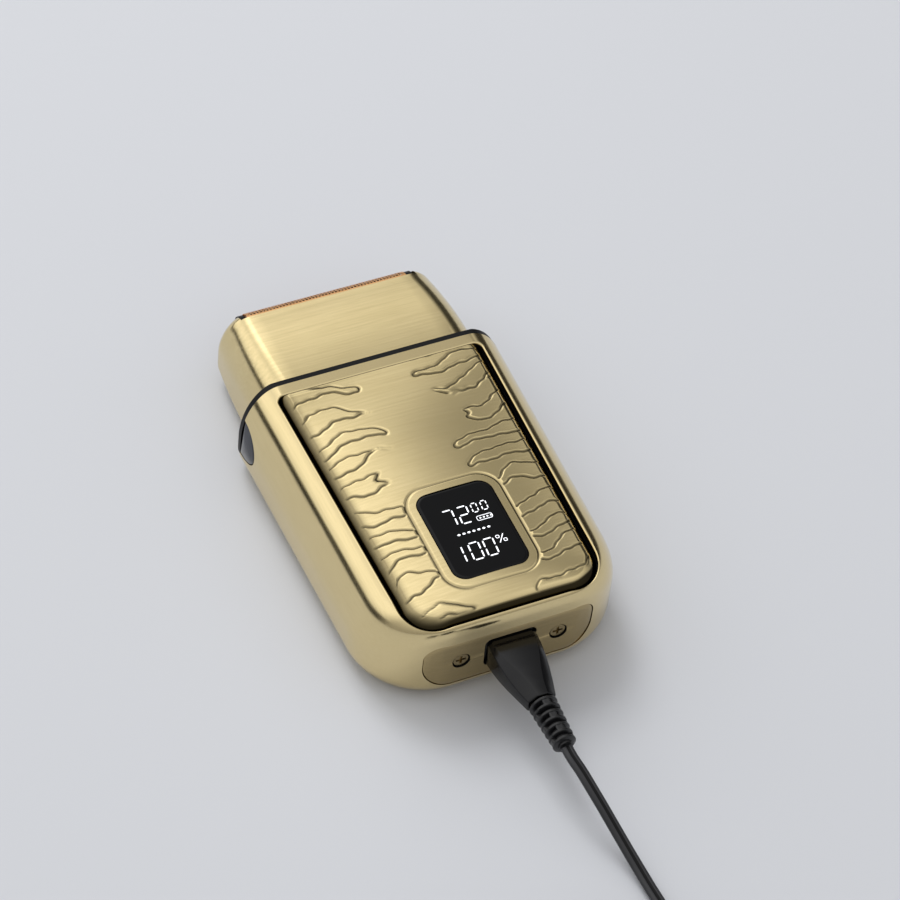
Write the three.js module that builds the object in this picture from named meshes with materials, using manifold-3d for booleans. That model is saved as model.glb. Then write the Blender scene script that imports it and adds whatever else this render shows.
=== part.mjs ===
import * as THREE from 'three';
import { mergeVertices } from 'three/addons/utils/BufferGeometryUtils.js';
import Module from 'manifold-3d';

// Two-foil electric shaver, lying on its back, with its charging lead plugged in.
// Millimetres. X is the width, +Y points to the shaving head, +Z out of the front face.
// The origin is under the middle of the shaver, on the surface that the back lies on.

const wasm = await Module();
wasm.setup();

// Fits
const seat = 0.3;              // gap between pieces that are fitted together
const runFit = 0.1;            // gap of a turning shaft in its bore
const overrun = 1;             // how far a cut runs past the face that it opens

// Body shell
const bodyHalfTop = 32.7;      // half width at the collar
const bodyTaper = 1.2;         // narrower by this at each side where the end corners start
const bodyHalfEnd = bodyHalfTop - bodyTaper;
const bodyTop = 23.7;          // collar edge above the origin
const bodyEnd = 54.6;          // end face below the origin
const bodyThick = 24.6;        // back to the top of the rim
const endCorner = 18;          // radius of the two end corners in plan
const endRoundWide = 1.4;      // front edge along the end face, across
const endRoundDeep = 3.2;      // front edge along the end face, down
const backRoundWide = 6.5;     // back edge, across
const backRoundDeep = 6.2;     // back edge, up
const sideRoundWide = 9;       // front edge along the sides, across
const sideRoundMost = 14.5;    // front edge along the sides, down, where the wall has room for it
const sideRoundDeep = Math.min(sideRoundMost, bodyThick - backRoundDeep);
const shellWall = 1.6;
const endLedge = 1;            // end wall that the end plate rests on
const collarDip = 0.7;         // how far the collar edge drops at the sides
const dipWide = 12.7;          // width at each side over which it drops
const dipStart = bodyHalfTop - dipWide;

// Front panel and its window
const panelBar = 3.1;          // bar of the shell between the panel and the collar
const panelTop = bodyTop - panelBar;
const panelLedge = 1.4;        // rim of the shell at the end of the panel
const panelEnd = bodyEnd - panelLedge;
const panelRim = 7.5;          // rim of the shell beside the panel at the collar
const panelHalfTop = bodyHalfTop - panelRim;
const panelRimEnd = 7.9;       // the same where the end corners start
const panelHalfEnd = bodyHalfEnd - panelRimEnd;
const panelTopRound = 1.6;
const panelEndRound = 8.5;
const panelSunk = 0.5;         // edge of the panel below the top of the rim
const panelEdgeHigh = bodyThick - panelSunk;
const panelThin = 0.9;         // thickness of the panel at its edge
const panelFloor = panelEdgeHigh - panelThin;
const panelRoll = 3;           // width of the rolled edge
const panelRollDrop = 1;       // how far the rolled edge drops
const panelArch = 1.2;         // rise of the panel across its width
const panelCrown = panelEdgeHigh + panelRollDrop + panelArch;
const panelTopFade = 14;       // length over which the panel comes down to the bar
const panelEndFade = 10;       // length over which it comes down to the end
const lensWide = 18.2;
const lensLong = 25.1;
const lensReach = 21.9;        // middle of the lens from the end of the panel
const lensPlace = panelEnd - lensReach;
const lensRound = 3.2;
const lensThick = 1.4;
const moduleThick = 2.3;
const moduleMargin = 0.9;      // the display module is this much smaller all round than the lens

// End plate, charging socket and screws
const plateRim = 11.1;         // shell beside the end plate
const plateHalf = bodyHalfEnd - plateRim;
const plateLow = 5.2;
const plateDrop = 4.3;         // top of the end plate below the floor of the panel recess
const plateHigh = panelFloor - plateDrop;
const plateLowMost = 6.4;      // lower corners, where the plate has room for them
const plateHighMost = 4.4;     // upper corners, the same
const plateThick = 2;
const plateInset = 0.15;       // plate face behind the end of the shell
const throatMargin = 3.2;      // the opening behind the plate is this much smaller all round
const throatRound = 3;
const socketLift = 0.15;       // axis of the socket and of the plug above the middle of the plate
const socketHigh = (plateLow + plateHigh) / 2 + socketLift;
const plateHighRound = Math.min(plateHighMost, plateHigh - socketHigh);
const plateLowRound = Math.min(plateLowMost, socketHigh - plateLow);
const portHalf = 6.2;
const portTall = 8.8;
const portRound = 1.6;
const socketSink = 1.15;       // socket face behind the plate face
const socketDeep = 8;
const socketPinLong = 1.6;
const socketPinWide = 7;
const screwShift = 1.6;        // each screw nearer to the socket than halfway to the side of the plate
const screwPlace = (portHalf + plateHalf) / 2 - screwShift;
const screwHead = 3.6;
const screwHeadTall = 1.2;
const screwShank = 2;
const screwLong = 7.5;
const screwSink = 0.35;        // screw face behind the plate face
const screwRecess = 4.3;
const crossWide = 0.6;
const crossLong = 2.4;
const crossDeep = 0.6;

// Side release buttons: half an oval that stands on the collar, with a hook arm that reaches into the head
const buttonEdge = bodyTop - collarDip - seat;
const buttonLong = 7.4;        // from the edge at the collar to the round end
const buttonHalfTall = 5.05;
const buttonDrop = 4.6;        // middle of the cap below the collar edge
const buttonPlace = bodyTop - buttonDrop;
const buttonProud = 0.6;
const buttonTravel = 1.2;
const buttonFlange = 1;        // flange behind the wall, beyond the cap
const flangeBehind = 4.6;      // flange back behind the outside of the wall
const hookTop = 13.4;          // top of the hook above the middle of the button
const hookHalf = 2.5;
const hookThick = 1.4;
const hookStart = 0.6;         // foot of the hook above the middle of the button
const hookNose = 0.5;
const hookClear = 0.3;         // tip of the nose from the latch arm
const hookLift = 0.3;          // middle of the button and the hook above the motor axis
const buttonDomeShares = [1, 0.8, 0.55, 0.28];
const releaseSpringRadius = 1.6;
const releaseSpringWire = 0.5;
const releaseSpringTurns = 3;
const releaseSpringDrop = 2.5; // spring axis below the middle of the button

// Power button in the back
const powerPlace = 9;          // below the origin
const powerRadius = 4.6;
const powerDish = 7;           // radius of the dished recess round it
const powerDishDeep = 0.45;
const powerTravel = 0.4;
const powerFlange = 0.9;
const powerFlangeThick = 0.8;
const powerStem = 1.2;
const switchHalf = 3;
const switchTall = 1;

// Board, cell and inner frame
const boardHigh = 5.3;         // underside of the board
const boardThick = 1.6;
const boardHalf = 12;
const boardCorner = 1;
const cellRoom = 0.35;         // kept free behind the cell
const cellReach = 11;          // end of the cell from the end of the body
const cellEnd = bodyEnd - cellReach;
const cellGap = 1;             // between the cell and the motor
const cellContactRadius = 2.6;
const cellContactTall = 1;
const frameRim = 9.2;          // outside of the shell to the frame
const frameHalf = bodyHalfTop - frameRim;
const frameDrop = 4.6;         // top of the frame below the floor of the panel recess
const frameHigh = panelFloor - frameDrop;
const framePocketHalf = 3.4;   // half width of the hollows beside the cell
const framePocketReach = 17.6; // end of the hollows from the end of the body
const framePocketTop = 1;
const frameFloorThick = 1.4;

// Motor and drive: two cams on the shaft move two forked slides in opposite directions
const motorHalf = 10;
const axisDrop = 0.6;          // axis of the motor, the drive and the head below the middle of the room
const motorHigh = panelFloor / 2 - axisDrop;
const motorBed = 3.5;          // from the back to the motor
const motorHalfTall = motorHigh - motorBed;
const motorLong = 24;
const motorRise = 0.7;         // top of the motor above the collar edge
const motorTop = bodyTop + motorRise;
const motorBoss = 3;
const motorBossTall = 1.2;
const motorScrewPlace = 6.6;
const motorScrewHead = 3;
const motorScrewHeadTall = 1;
const motorScrewShank = 1.6;
const motorScrewLong = 5;
const shaftRadius = 0.75;
const shaftSunk = 5;
const camRadius = 2;
const camThrow = 0.7;
const slideThick = 2.8;
const slideGap = 0.8;
const forkRoom = 0.4;          // kept free all round the path of a cam
const prongWide = 2.9;
const postHalfWide = 1.9;
const guideHalf = 17;
const guideRim = 0.5;          // drive guide beyond the motor, in height
const guideHalfTall = motorHalfTall + guideRim;
const guideWall = 1.4;
const guideCorner = 2;
const guideDrop = 2.6;         // foot of the guide below the collar edge
const guideFoot = bodyTop - guideDrop;
const guideFlange = 1.9;

// Shaving head cover and collar
const collarThick = 1.35;
const collarGap = 0.15;        // under the collar and over it
const collarInset = 0.25;
const collarLip = 0.6;         // collar reaches this far inside the wall of the head cover
const headStep = 4.8;          // head inside the body at the collar
const headHalfFoot = bodyHalfTop - headStep;
const headTaper = 0.5;         // narrower by this at each side at its shoulder
const headHalfTop = headHalfFoot - headTaper;
const headBulge = 0.42;        // how far the sides stand outside a straight line
const headLong = 30.9;         // from the collar edge to the top
const headTop = bodyTop + headLong;
const headDomeTall = 5.4;      // where the outline turns in to the top, below the top
const headShoulder = headTop - headDomeTall;
const headDomeIn = 6.5;        // how much narrower the dome is at its top than at its shoulder
const headDomeDrop = 8.2;      // how much lower it is there
const headFootLow = 0.85;
const headFootDrop = 1.45;     // front of the head below the rim of the body
const headFootHigh = bodyThick - headFootDrop;
const headTopHalfTall = 9.2;
const headTopLow = motorHigh - headTopHalfTall;
const headTopHigh = motorHigh + headTopHalfTall;
const headWall = 1.1;
const headFrontWide = 7.4;
const headFrontDeep = 10.5;
const headBackWide = 3.7;
const headBackDeep = 3.7;
const headCornerShare = 0.95;  // share of its height that the two corners of the head may take
const cheekDipRadius = 4;
const cheekDipDeep = 0.8;

// Foils, foil frame and inner cutters
const foilSpread = 4.15;       // foil axes on either side of the motor axis
const foilRadius = 3.55;
const foilThick = 0.3;
const foilEndRoom = 5.2;       // opening for the foils inside the shoulder of the head
const foilOpenHalf = headHalfTop - foilEndRoom;
const foilEndGap = 2;          // foil ends from the ends of the opening
const foilHalfLong = foilOpenHalf - foilEndGap;
const foilOpenDeep = 5;        // front edge of the opening below the top
const foilDrop = 4;            // axes of the foils below the top
const foilAxis = headTop - foilDrop;
const foilLeg = 3.8;           // straight leg below the foil axis
const foilFrameTall = 4.9;
const foilFrameCorner = 2.6;
const capLong = 1.4;
const armThick = 1.5;
const armLong = 14;
const armHalf = 5;
const armWindowLong = 3.6;
const armWindowHalf = 3;
const armWindowFoot = 2.4;
const cutterShort = 2;         // the cutter ends this far inside the foil
const cutterHalfLong = foilHalfLong - cutterShort;
const cutterGap = 0.4;         // between the blades and the foil
const cutterBlades = 20;
const bladeShare = 0.52;       // share of the pitch that is blade
const coreShare = 0.55;        // core radius as a share of the blade radius
const cutterFoot = 1.8;
const carrierShort = 3.6;      // the carrier ends this far inside the cutter
const carrierHalfLong = cutterHalfLong - carrierShort;
const carrierHalf = 2.6;
const carrierTall = 3;
const carrierLipTall = 1.2;
const carrierLipLong = 5;
const sleeveHalf = 3;
const sleeveLong = 7;
const sleeveRoof = 1.4;
const cutterSpringRadius = 0.75;
const cutterSpringWire = 0.3;
const cutterSpringLong = 3;
const cutterSpringTurns = 3;

// Charging lead
const cordWide = 2.8;
const cordSides = 8;
const cordStep = 6.4;          // length of one straight piece of the free cord
const plugSunk = 1;            // front of the plug's body inside the end of the shell
const plugFace = bodyEnd - plugSunk;
const plugStationShares = [0, 0.06, 0.1, 0.56, 1];
const plugWideShares = [0.95, 1, 1, 0.9, 0.57];
const plugTallShares = [0.93, 1, 0.98, 0.88, 0.75];
const plugHalfWide = 5.8;
const plugHalfTall = 4;
const plugRound = 1.5;
const plugLong = 17.4;
const noseHalfWide = 4.4;
const noseHalfTall = 2.4;
const noseRound = 1.2;
const noseLong = 6.2;
const bootLong = 12.4;
const bootRibs = 7;
const bootRadius = 3.3;
const bootEndRadius = 2.75;
const bootGrooveShare = 0.72;
const ribShares = [0.12, 0.24, 0.76, 0.88];
const coilOuter = 19.3;        // radius of the outermost turn
const coilPitch = 3.3;
const coilLayers = 4;
const coilTurns = 8.25;
const coilSides = 6;
const coilSteps = 24;          // per turn
const coilX = -12.6;
const coilReach = 63;          // middle of the coil from the boot
const tieThick = 0.4;
const tieHalfWide = 2.5;
const tieRound = 1;
const cordFall = [             // cord from the boot to the coil: across, out from the boot, up
  [0.5, 6, 11.7], [1.2, 10, 10.4], [2.2, 14.5, 8.3], [3.3, 19, 5.8], [4.3, 23.9, 3.6],
  [5, 28.2, 2.2], [5.4, 32.5, 1.6], [5.7, 37, 1.5], [6.1, 43, 1.5], [6.5, 50, 1.6],
];
const tailFall = [[9.4, 10.6], [13.9, 8.2], [18.4, 5.9]]; // cord from the coil to the grip: out, up
const tailHigh = 4.5;          // cord where the bend before the grip starts
const tailBend = 12;           // radius of that bend
const tailBendShares = [0.62, 0.29, 0.075];
const gripHalfWide = 7.8;
const gripHalfTall = 4;
const gripLong = 23;
const gripRound = 2.2;
const gripX = -48;
const gripRise = 2;            // foot of the grip above the middle of the coil
const gripNeckLong = 5;
const gripNeckHalf = 2.9;
const usbHalfWide = 6;
const usbHalfTall = 2.25;
const usbLong = 12.2;
const usbSheet = 0.35;
const usbSunk = 2;
const usbRound = 0.6;
const tongueHalf = 5.3;
const tongueThick = 1.7;
const tongueShort = 0.8;       // tongue ends this far inside the shell's mouth

// Numbers and angles
const quarter = Math.PI / 2;
const mix = (a, b, share) => a + (b - a) * share;
const ease = (t) => { const u = Math.min(1, Math.max(0, t)); return u * u * (3 - 2 * u); };
const count = (n, make) => Array.from({ length: n }, (_, i) => make(i));

// Solids
function toSolid(geometry) {
  const bare = new THREE.BufferGeometry();
  bare.setAttribute('position', geometry.getAttribute('position'));
  if (geometry.getIndex()) bare.setIndex(geometry.getIndex());
  const whole = mergeVertices(bare, 1e-4);
  return new wasm.Manifold(new wasm.Mesh({
    numProp: 3,
    vertProperties: new Float32Array(whole.getAttribute('position').array),
    triVerts: new Uint32Array(whole.getIndex().array),
  }));
}

function toGeometry(solid) {
  const mesh = solid.getMesh();
  const geometry = new THREE.BufferGeometry();
  geometry.setAttribute('position', new THREE.BufferAttribute(new Float32Array(mesh.vertProperties), 3));
  geometry.setIndex(new THREE.BufferAttribute(new Uint32Array(mesh.triVerts), 1));
  geometry.computeVertexNormals();
  return geometry;
}

const moved = (geometry, x, y, z) => toSolid(geometry.translate(x, y, z));
const joined = (solids) => solids.reduce((whole, solid) => whole.add(solid));

function box(x0, x1, y0, y1, z0, z1) {
  const geometry = new THREE.BoxGeometry(Math.abs(x1 - x0), Math.abs(y1 - y0), Math.abs(z1 - z0));
  return moved(geometry, (x0 + x1) / 2, (y0 + y1) / 2, (z0 + z1) / 2);
}

const rodX = (radius, x0, x1, y, z, sides = 24) =>
  moved(new THREE.CylinderGeometry(radius, radius, Math.abs(x1 - x0), sides).rotateZ(quarter),
    (x0 + x1) / 2, y, z);

const rodY = (radius, y0, y1, x, z, sides = 24) =>
  moved(new THREE.CylinderGeometry(radius, radius, y1 - y0, sides), x, (y0 + y1) / 2, z);

const rodZ = (radius, z0, z1, x, y, sides = 24, radiusEnd = radius) =>
  moved(new THREE.CylinderGeometry(radiusEnd, radius, z1 - z0, sides).rotateX(quarter), x, y, (z0 + z1) / 2);

// A closed outline, counter-clockwise in its own two directions, pulled along one axis
const shapeOf = (outline) => new THREE.Shape(outline.map(([u, v]) => new THREE.Vector2(u, v)));
const pulled = (outline, depth) => new THREE.ExtrudeGeometry(shapeOf(outline), { depth, bevelEnabled: false });
const pulledX = (outline, x0, x1) =>
  moved(pulled(outline, Math.abs(x1 - x0)).rotateX(quarter).rotateZ(quarter), Math.min(x0, x1), 0, 0);
const pulledY = (outline, y0, y1) => moved(pulled(outline, y1 - y0).rotateX(quarter), 0, y1, 0);
const pulledZ = (outline, z0, z1) => moved(pulled(outline, z1 - z0), 0, 0, z0);

// Rounded rectangle with a radius for its two low corners and one for its two high corners
function roundedBox(u0, u1, v0, v1, lowRound, highRound = lowRound, steps = 4) {
  const corner = (cu, cv, r, from) => count(steps + 1, (i) => {
    const a = from + quarter * i / steps;
    return [cu + r * Math.cos(a), cv + r * Math.sin(a)];
  });
  return [
    ...corner(u1 - lowRound, v0 + lowRound, lowRound, -quarter),
    ...corner(u1 - highRound, v1 - highRound, highRound, 0),
    ...corner(u0 + highRound, v1 - highRound, highRound, quarter),
    ...corner(u0 + lowRound, v0 + lowRound, lowRound, 2 * quarter),
  ];
}

// A skin over closed rings of points, with a flat face on the first ring and on the last
function loft(rings) {
  const sides = rings[0].length;
  const points = rings.flat();
  const faces = [];
  for (let i = 0; i + 1 < rings.length; i++) {
    for (let j = 0; j < sides; j++) {
      const a = i * sides + j;
      const b = i * sides + (j + 1) % sides;
      faces.push(a, b, b + sides, a, b + sides, a + sides);
    }
  }
  const middle = (ring) => ring.reduce((sum, p) => sum.add(p), new THREE.Vector3()).divideScalar(sides);
  const first = points.push(middle(rings[0])) - 1;
  const last = points.push(middle(rings[rings.length - 1])) - 1;
  const top = (rings.length - 1) * sides;
  for (let j = 0; j < sides; j++) {
    const k = (j + 1) % sides;
    faces.push(first, k, j);
    faces.push(last, top + j, top + k);
  }
  const geometry = new THREE.BufferGeometry();
  const places = new Float32Array(points.flatMap((p) => p.toArray()));
  geometry.setAttribute('position', new THREE.BufferAttribute(places, 3));
  geometry.setIndex(faces);
  return geometry;
}

// Rings at rising heights along Y, each given by its outline in X and Z
const loftY = (stations) => loft(stations.map(({ y, outline }) =>
  [...outline].reverse().map(([x, z]) => new THREE.Vector3(x, y, z))));

// A round tube through points; up is a direction that the tube never runs along
function tube(points, radius, sides, up) {
  return loft(points.map((p, i) => {
    const before = points[Math.max(0, i - 1)];
    const after = points[Math.min(points.length - 1, i + 1)];
    const along = after.clone().sub(before).normalize();
    const across = along.clone().cross(up).normalize();
    const over = across.clone().cross(along);
    return count(sides, (j) => {
      const a = 4 * quarter * j / sides;
      return p.clone().addScaledVector(over, radius * Math.cos(a)).addScaledVector(across, radius * Math.sin(a));
    });
  }));
}

// Compression spring: straight axis from start, along a unit direction
function spring(start, axis, long, radius, wire, turns) {
  const steps = 8;
  const sides = 5;
  const side = new THREE.Vector3(axis.z, axis.x, axis.y);
  const other = axis.clone().cross(side);
  const points = count(turns * steps + 1, (i) => {
    const a = 4 * quarter * i / steps;
    const rise = mix(wire / 2, long - wire / 2, i / (turns * steps));
    return start.clone().addScaledVector(axis, rise)
      .addScaledVector(side, radius * Math.cos(a)).addScaledVector(other, radius * Math.sin(a));
  });
  return tube(points, wire / 2, sides, axis);
}

// Body outline in plan, and how far its edge is drawn in at a height:
// side is 1 along the sides and 0 along the end face
const bodyHalf = (y) =>
  mix(bodyHalfEnd, bodyHalfTop, (y + bodyEnd - endCorner) / (bodyTop + bodyEnd - endCorner));
const dip = (x) => collarDip * (Math.max(0, Math.abs(x) - dipStart) / (bodyHalfTop - dipStart)) ** 2;

function bodyInset(z, side) {
  const wide = mix(endRoundWide, sideRoundWide, side);
  const deep = mix(endRoundDeep, sideRoundDeep, side);
  const over = (z - bodyThick + deep) / deep;
  const under = (backRoundDeep - z) / backRoundDeep;
  if (over > 0) return wide * (1 - Math.sqrt(Math.max(0, 1 - over * over)));
  if (under > 0) return backRoundWide * (1 - Math.sqrt(Math.max(0, 1 - under * under)));
  return 0;
}

const cornerSteps = 8;
const edgeShares = [0, 0.25, 0.5, 0.75, 1];

function bodyRing(z, inset, lift) {
  const topHalf = bodyHalf(bodyTop) - bodyInset(z, 1) - inset;
  const cornerY = endCorner - bodyEnd;
  const right = edgeShares.map((share) => {
    const x = mix(dipStart, topHalf, share);
    return new THREE.Vector3(x, bodyTop + lift - dip(x), z);
  });
  for (let i = 0; i <= cornerSteps; i++) {
    const a = quarter * (1 - i / cornerSteps);
    const radius = endCorner - bodyInset(z, ease(a / quarter)) - inset;
    const x = bodyHalfEnd - endCorner + radius * Math.sin(a);
    right.push(new THREE.Vector3(x, cornerY - radius * Math.cos(a), z));
  }
  const left = right.map((p) => new THREE.Vector3(-p.x, p.y, p.z)).reverse();
  return [...left, ...right].reverse();
}

// Ring heights crowd on the two rounded edges
const backSteps = 4;
const frontSteps = 6;
const ringHeights = [
  ...count(backSteps + 1, (i) => backRoundDeep * (1 - Math.cos(quarter * i / backSteps))),
  ...count(frontSteps + 1, (i) => mix(bodyThick - sideRoundDeep, bodyThick, Math.sin(quarter * i / frontSteps))),
];

function bodySolid(inset, low = inset, high = bodyThick - inset, lift = 0) {
  const inside = ringHeights.filter((z) => z > low && z < high);
  return toSolid(loft([low, ...inside, high].map((z) => bodyRing(z, inset, lift))));
}

const innerFloor = panelFloor - shellWall;
const innerSolid = (gap, lift = 0) => bodySolid(shellWall + gap, shellWall + gap, innerFloor - gap, lift);
const endWall = plateInset + plateThick + seat + endLedge;

// Front panel: crowned across its width and rolled off at its edges
function panelSurface(x) {
  const crown = (panelCrown - panelEdgeHigh - panelRollDrop) * (1 - (x / panelHalfTop) ** 2);
  const roll = Math.max(0, Math.abs(x) - panelHalfTop + panelRoll) / panelRoll;
  return panelEdgeHigh + panelRollDrop * (1 - roll * roll) + crown;
}

// Highest level of the panel along its length: flush with the bar at one end, rolled off at the other
function panelProfile(y) {
  const rise = (share) => Math.sin(quarter * Math.min(1, Math.max(0, share)));
  const toBar = mix(bodyThick, panelCrown, rise((panelTop - y) / panelTopFade));
  const fromEnd = y + panelEnd;
  const roll = Math.max(0, panelRoll - fromEnd) / panelRoll;
  const toEnd = panelEdgeHigh + panelRollDrop * (1 - roll * roll) + panelArch * rise(fromEnd / panelEndFade);
  return Math.min(toBar, toEnd);
}

function panelOutline(grow) {
  const steps = 6;
  const corner = (cx, cy, r, from) => count(steps + 1, (i) => {
    const a = from + quarter * i / steps;
    return [cx + r * Math.cos(a), cy + r * Math.sin(a)];
  });
  const low = panelEndRound + grow;
  const high = panelTopRound + grow;
  const endX = panelHalfEnd + grow - low;
  const topX = panelHalfTop + grow - high;
  return [
    ...corner(endX, -panelEnd - grow + low, low, -quarter),
    ...corner(topX, panelTop + grow - high, high, 0),
    ...corner(-topX, panelTop + grow - high, high, quarter),
    ...corner(-endX, -panelEnd - grow + low, low, 2 * quarter),
  ];
}

function lensPrism(grow, z0, z1) {
  const wide = lensWide / 2 + grow;
  const long = lensLong / 2 + grow;
  return pulledZ(roundedBox(-wide, wide, -lensPlace - long, -lensPlace + long, lensRound + grow), z0, z1);
}

function frontPanel() {
  const steps = 26;
  const fallSteps = 7;
  const reach = panelHalfTop + overrun;
  const top = count(steps + 1, (i) => {
    const x = mix(reach, -reach, i / steps);
    return [x, panelSurface(Math.min(panelHalfTop, Math.abs(x)))];
  });
  const section = [[-reach, panelFloor], [reach, panelFloor], ...top];
  const falls = [
    ...count(fallSteps + 1, (i) => mix(-panelEnd, panelEndFade - panelEnd, i / fallSteps)),
    ...count(fallSteps + 1, (i) => mix(panelTop - panelTopFade, panelTop, i / fallSteps)),
  ];
  const crest = falls.map((y) => [y, panelProfile(y)]);
  const profile = [[-panelEnd - overrun, panelEdgeHigh], ...crest, [panelTop + overrun, bodyThick]];
  const under = [[panelTop + overrun, panelFloor - overrun], [-panelEnd - overrun, panelFloor - overrun]];
  return pulledY(section, -panelEnd - overrun, panelTop + overrun)
    .intersect(pulledX([...profile, ...under].reverse(), -reach, reach))
    .intersect(pulledZ(panelOutline(0), panelFloor - overrun, panelCrown + overrun))
    .subtract(lensPrism(seat, panelFloor - overrun, panelCrown + overrun));
}

const moduleTop = panelCrown - lensThick - seat;
const displayLens = () => lensPrism(0, panelCrown - lensThick, panelCrown);
const displayModule = () => lensPrism(-moduleMargin, moduleTop - moduleThick, moduleTop);

// End plate: its face follows the rounded end of the body
const plateFace = -bodyEnd + plateInset;
const plateBack = plateFace + plateThick;
const screwFace = plateFace + screwSink;
const plateOutline = (grow) => roundedBox(-plateHalf - grow, plateHalf + grow, plateLow - grow, plateHigh + grow,
  plateLowRound + grow, plateHighRound + grow);
const portOutline = (grow) => roundedBox(-portHalf - grow, portHalf + grow,
  socketHigh - portTall / 2 - grow, socketHigh + portTall / 2 + grow, portRound + grow);

function endPlate() {
  const plate = bodySolid(plateInset)
    .intersect(pulledY(plateOutline(0), -bodyEnd - overrun, plateBack))
    .subtract(pulledY(portOutline(0), -bodyEnd - overrun, plateBack + overrun));
  const headRoom = screwFace + screwHeadTall + seat;
  return [-1, 1].reduce((left, side) => left
    .subtract(rodY(screwRecess / 2, -bodyEnd - overrun, headRoom, side * screwPlace, socketHigh))
    .subtract(rodY(screwShank / 2 + seat, -bodyEnd, plateBack + overrun, side * screwPlace, socketHigh, 16)), plate);
}

function crossScrew(x, y, z, head, headTall, shank, long, sides) {
  const cross = (dx, dz) => box(x - dx, x + dx, y - overrun, y + crossDeep, z - dz, z + dz);
  return rodY(head / 2, y, y + headTall, x, z, sides)
    .add(rodY(shank / 2, y + headTall / 2, y + long, x, z, 12))
    .subtract(cross(crossLong / 2, crossWide / 2))
    .subtract(cross(crossWide / 2, crossLong / 2));
}

const endScrew = (side) =>
  crossScrew(side * screwPlace, screwFace, socketHigh, screwHead, screwHeadTall, screwShank, screwLong, 18);

// Head outline at a level, and the plain room inside it
const headFoot = bodyTop + collarGap + collarThick + collarGap;
const headStart = bodyTop - collarDip - overrun;
const headSideShares = [0, 0.2, 0.4, 0.6, 0.8, 1];

function headHalf(y) {
  const straight = Math.min(1, (y - headFoot) / (headShoulder - headFoot));
  return mix(headHalfFoot, headHalfTop, straight) + headBulge * 4 * straight * (1 - straight);
}

function headOutline(y, inset) {
  const straight = Math.min(1, (y - headFoot) / (headShoulder - headFoot));
  const rise = Math.min(1, Math.max(0, (y - headShoulder) / (headTop - headShoulder)));
  const fall = 1 - Math.sqrt(1 - rise * rise);
  const bulge = headBulge * 4 * straight * (1 - straight);
  const half = headHalf(y) - headDomeIn * fall - inset;
  const high = mix(headFootHigh, headTopHigh, straight) + bulge / 2 - headDomeDrop * fall - inset;
  const low = mix(headFootLow, headTopLow, straight) + headDomeDrop * fall + inset;
  const room = Math.min(1, headCornerShare * (high - low) / (headFrontDeep + headBackDeep));
  const steps = 5;
  const corner = (sx, z, wide, deep, from) => count(steps + 1, (i) => {
    const a = from + quarter * i / steps;
    return [sx * (half - wide) + wide * Math.cos(a), z + deep * Math.sin(a)];
  });
  const frontWide = (headFrontWide - inset) * room;
  const frontDeep = (headFrontDeep - inset) * room;
  const backWide = (headBackWide - inset) * room;
  const backDeep = (headBackDeep - inset) * room;
  return [
    ...corner(1, low + backDeep, backWide, backDeep, -quarter),
    ...corner(1, high - frontDeep, frontWide, frontDeep, 0),
    ...corner(-1, high - frontDeep, frontWide, frontDeep, quarter),
    ...corner(-1, low + backDeep, backWide, backDeep, 2 * quarter),
  ];
}

function headRoom(inset, top) {
  const levels = headSideShares.map((share) => mix(headStart - overrun, top, share));
  return toSolid(loftY(levels.map((y) => ({ y, outline: headOutline(y, inset) }))));
}

const foilFrameTop = foilAxis - foilLeg - seat;
const foilFrameFoot = foilFrameTop - foilFrameTall;
const foilFrameHalf = headHalf(foilFrameTop) - headWall - seat;
const hookFace = foilFrameHalf - armThick - hookClear - hookNose;

// Release buttons
const buttonHigh = motorHigh + hookLift;
const wallX = (z) => bodyHalf(buttonPlace) - bodyInset(z, 1);
const flangeBack = bodyHalf(buttonPlace) - flangeBehind;

function buttonOval(grow, top = 0) {
  const steps = 16;
  const half = buttonHalfTall + grow;
  const round = count(steps + 1, (i) => {
    const a = 2 * quarter * i / steps;
    return [buttonEdge - (buttonLong + grow) * Math.sin(a), buttonHigh + half * Math.cos(a)];
  });
  const edge = buttonEdge + top;
  return top > 0 ? [...round, [edge, buttonHigh - half], [edge, buttonHigh + half]] : round;
}

function releaseButton(side) {
  const ring = (scale, place) => buttonOval(0).map(([y, z]) => {
    const ry = mix(buttonPlace, y, scale);
    const rz = mix(buttonHigh, z, scale);
    return new THREE.Vector3(place(rz), ry, rz);
  });
  const dome = buttonDomeShares.map((share) =>
    ring(share, (z) => wallX(z) + buttonProud * (1 - share * share)));
  const cap = toSolid(loft([ring(1, () => flangeBack + hookThick / 2), ...dome]));
  const flange = pulledX(buttonOval(buttonFlange), flangeBack, bodyHalfTop).intersect(innerSolid(seat));
  const armY = buttonPlace + hookStart;
  const armBack = hookFace - hookThick;
  const low = buttonHigh - hookHalf;
  const high = buttonHigh + hookHalf;
  const arm = box(armBack, flangeBack + hookThick / 2, armY, armY + hookThick, low, high);
  const hook = box(armBack, hookFace, armY, buttonPlace + hookTop, low, high);
  const noseY = buttonPlace + hookTop;
  const noseFoot = hookFace - overrun / 2;
  const noseOutline = [
    [noseFoot, noseY - hookThick], [hookFace + hookNose, noseY - hookThick],
    [hookFace, noseY], [noseFoot, noseY],
  ];
  const whole = joined([cap, flange, arm, hook, pulledZ(noseOutline, low, high)]);
  return side > 0 ? whole : whole.mirror([1, 0, 0]);
}

function releaseSpring(side) {
  const start = new THREE.Vector3(side * (frameHalf + seat), buttonPlace - releaseSpringDrop, buttonHigh);
  const long = flangeBack - frameHalf - 2 * seat;
  const axis = new THREE.Vector3(side, 0, 0);
  return toSolid(spring(start, axis, long, releaseSpringRadius, releaseSpringWire, releaseSpringTurns));
}

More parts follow.
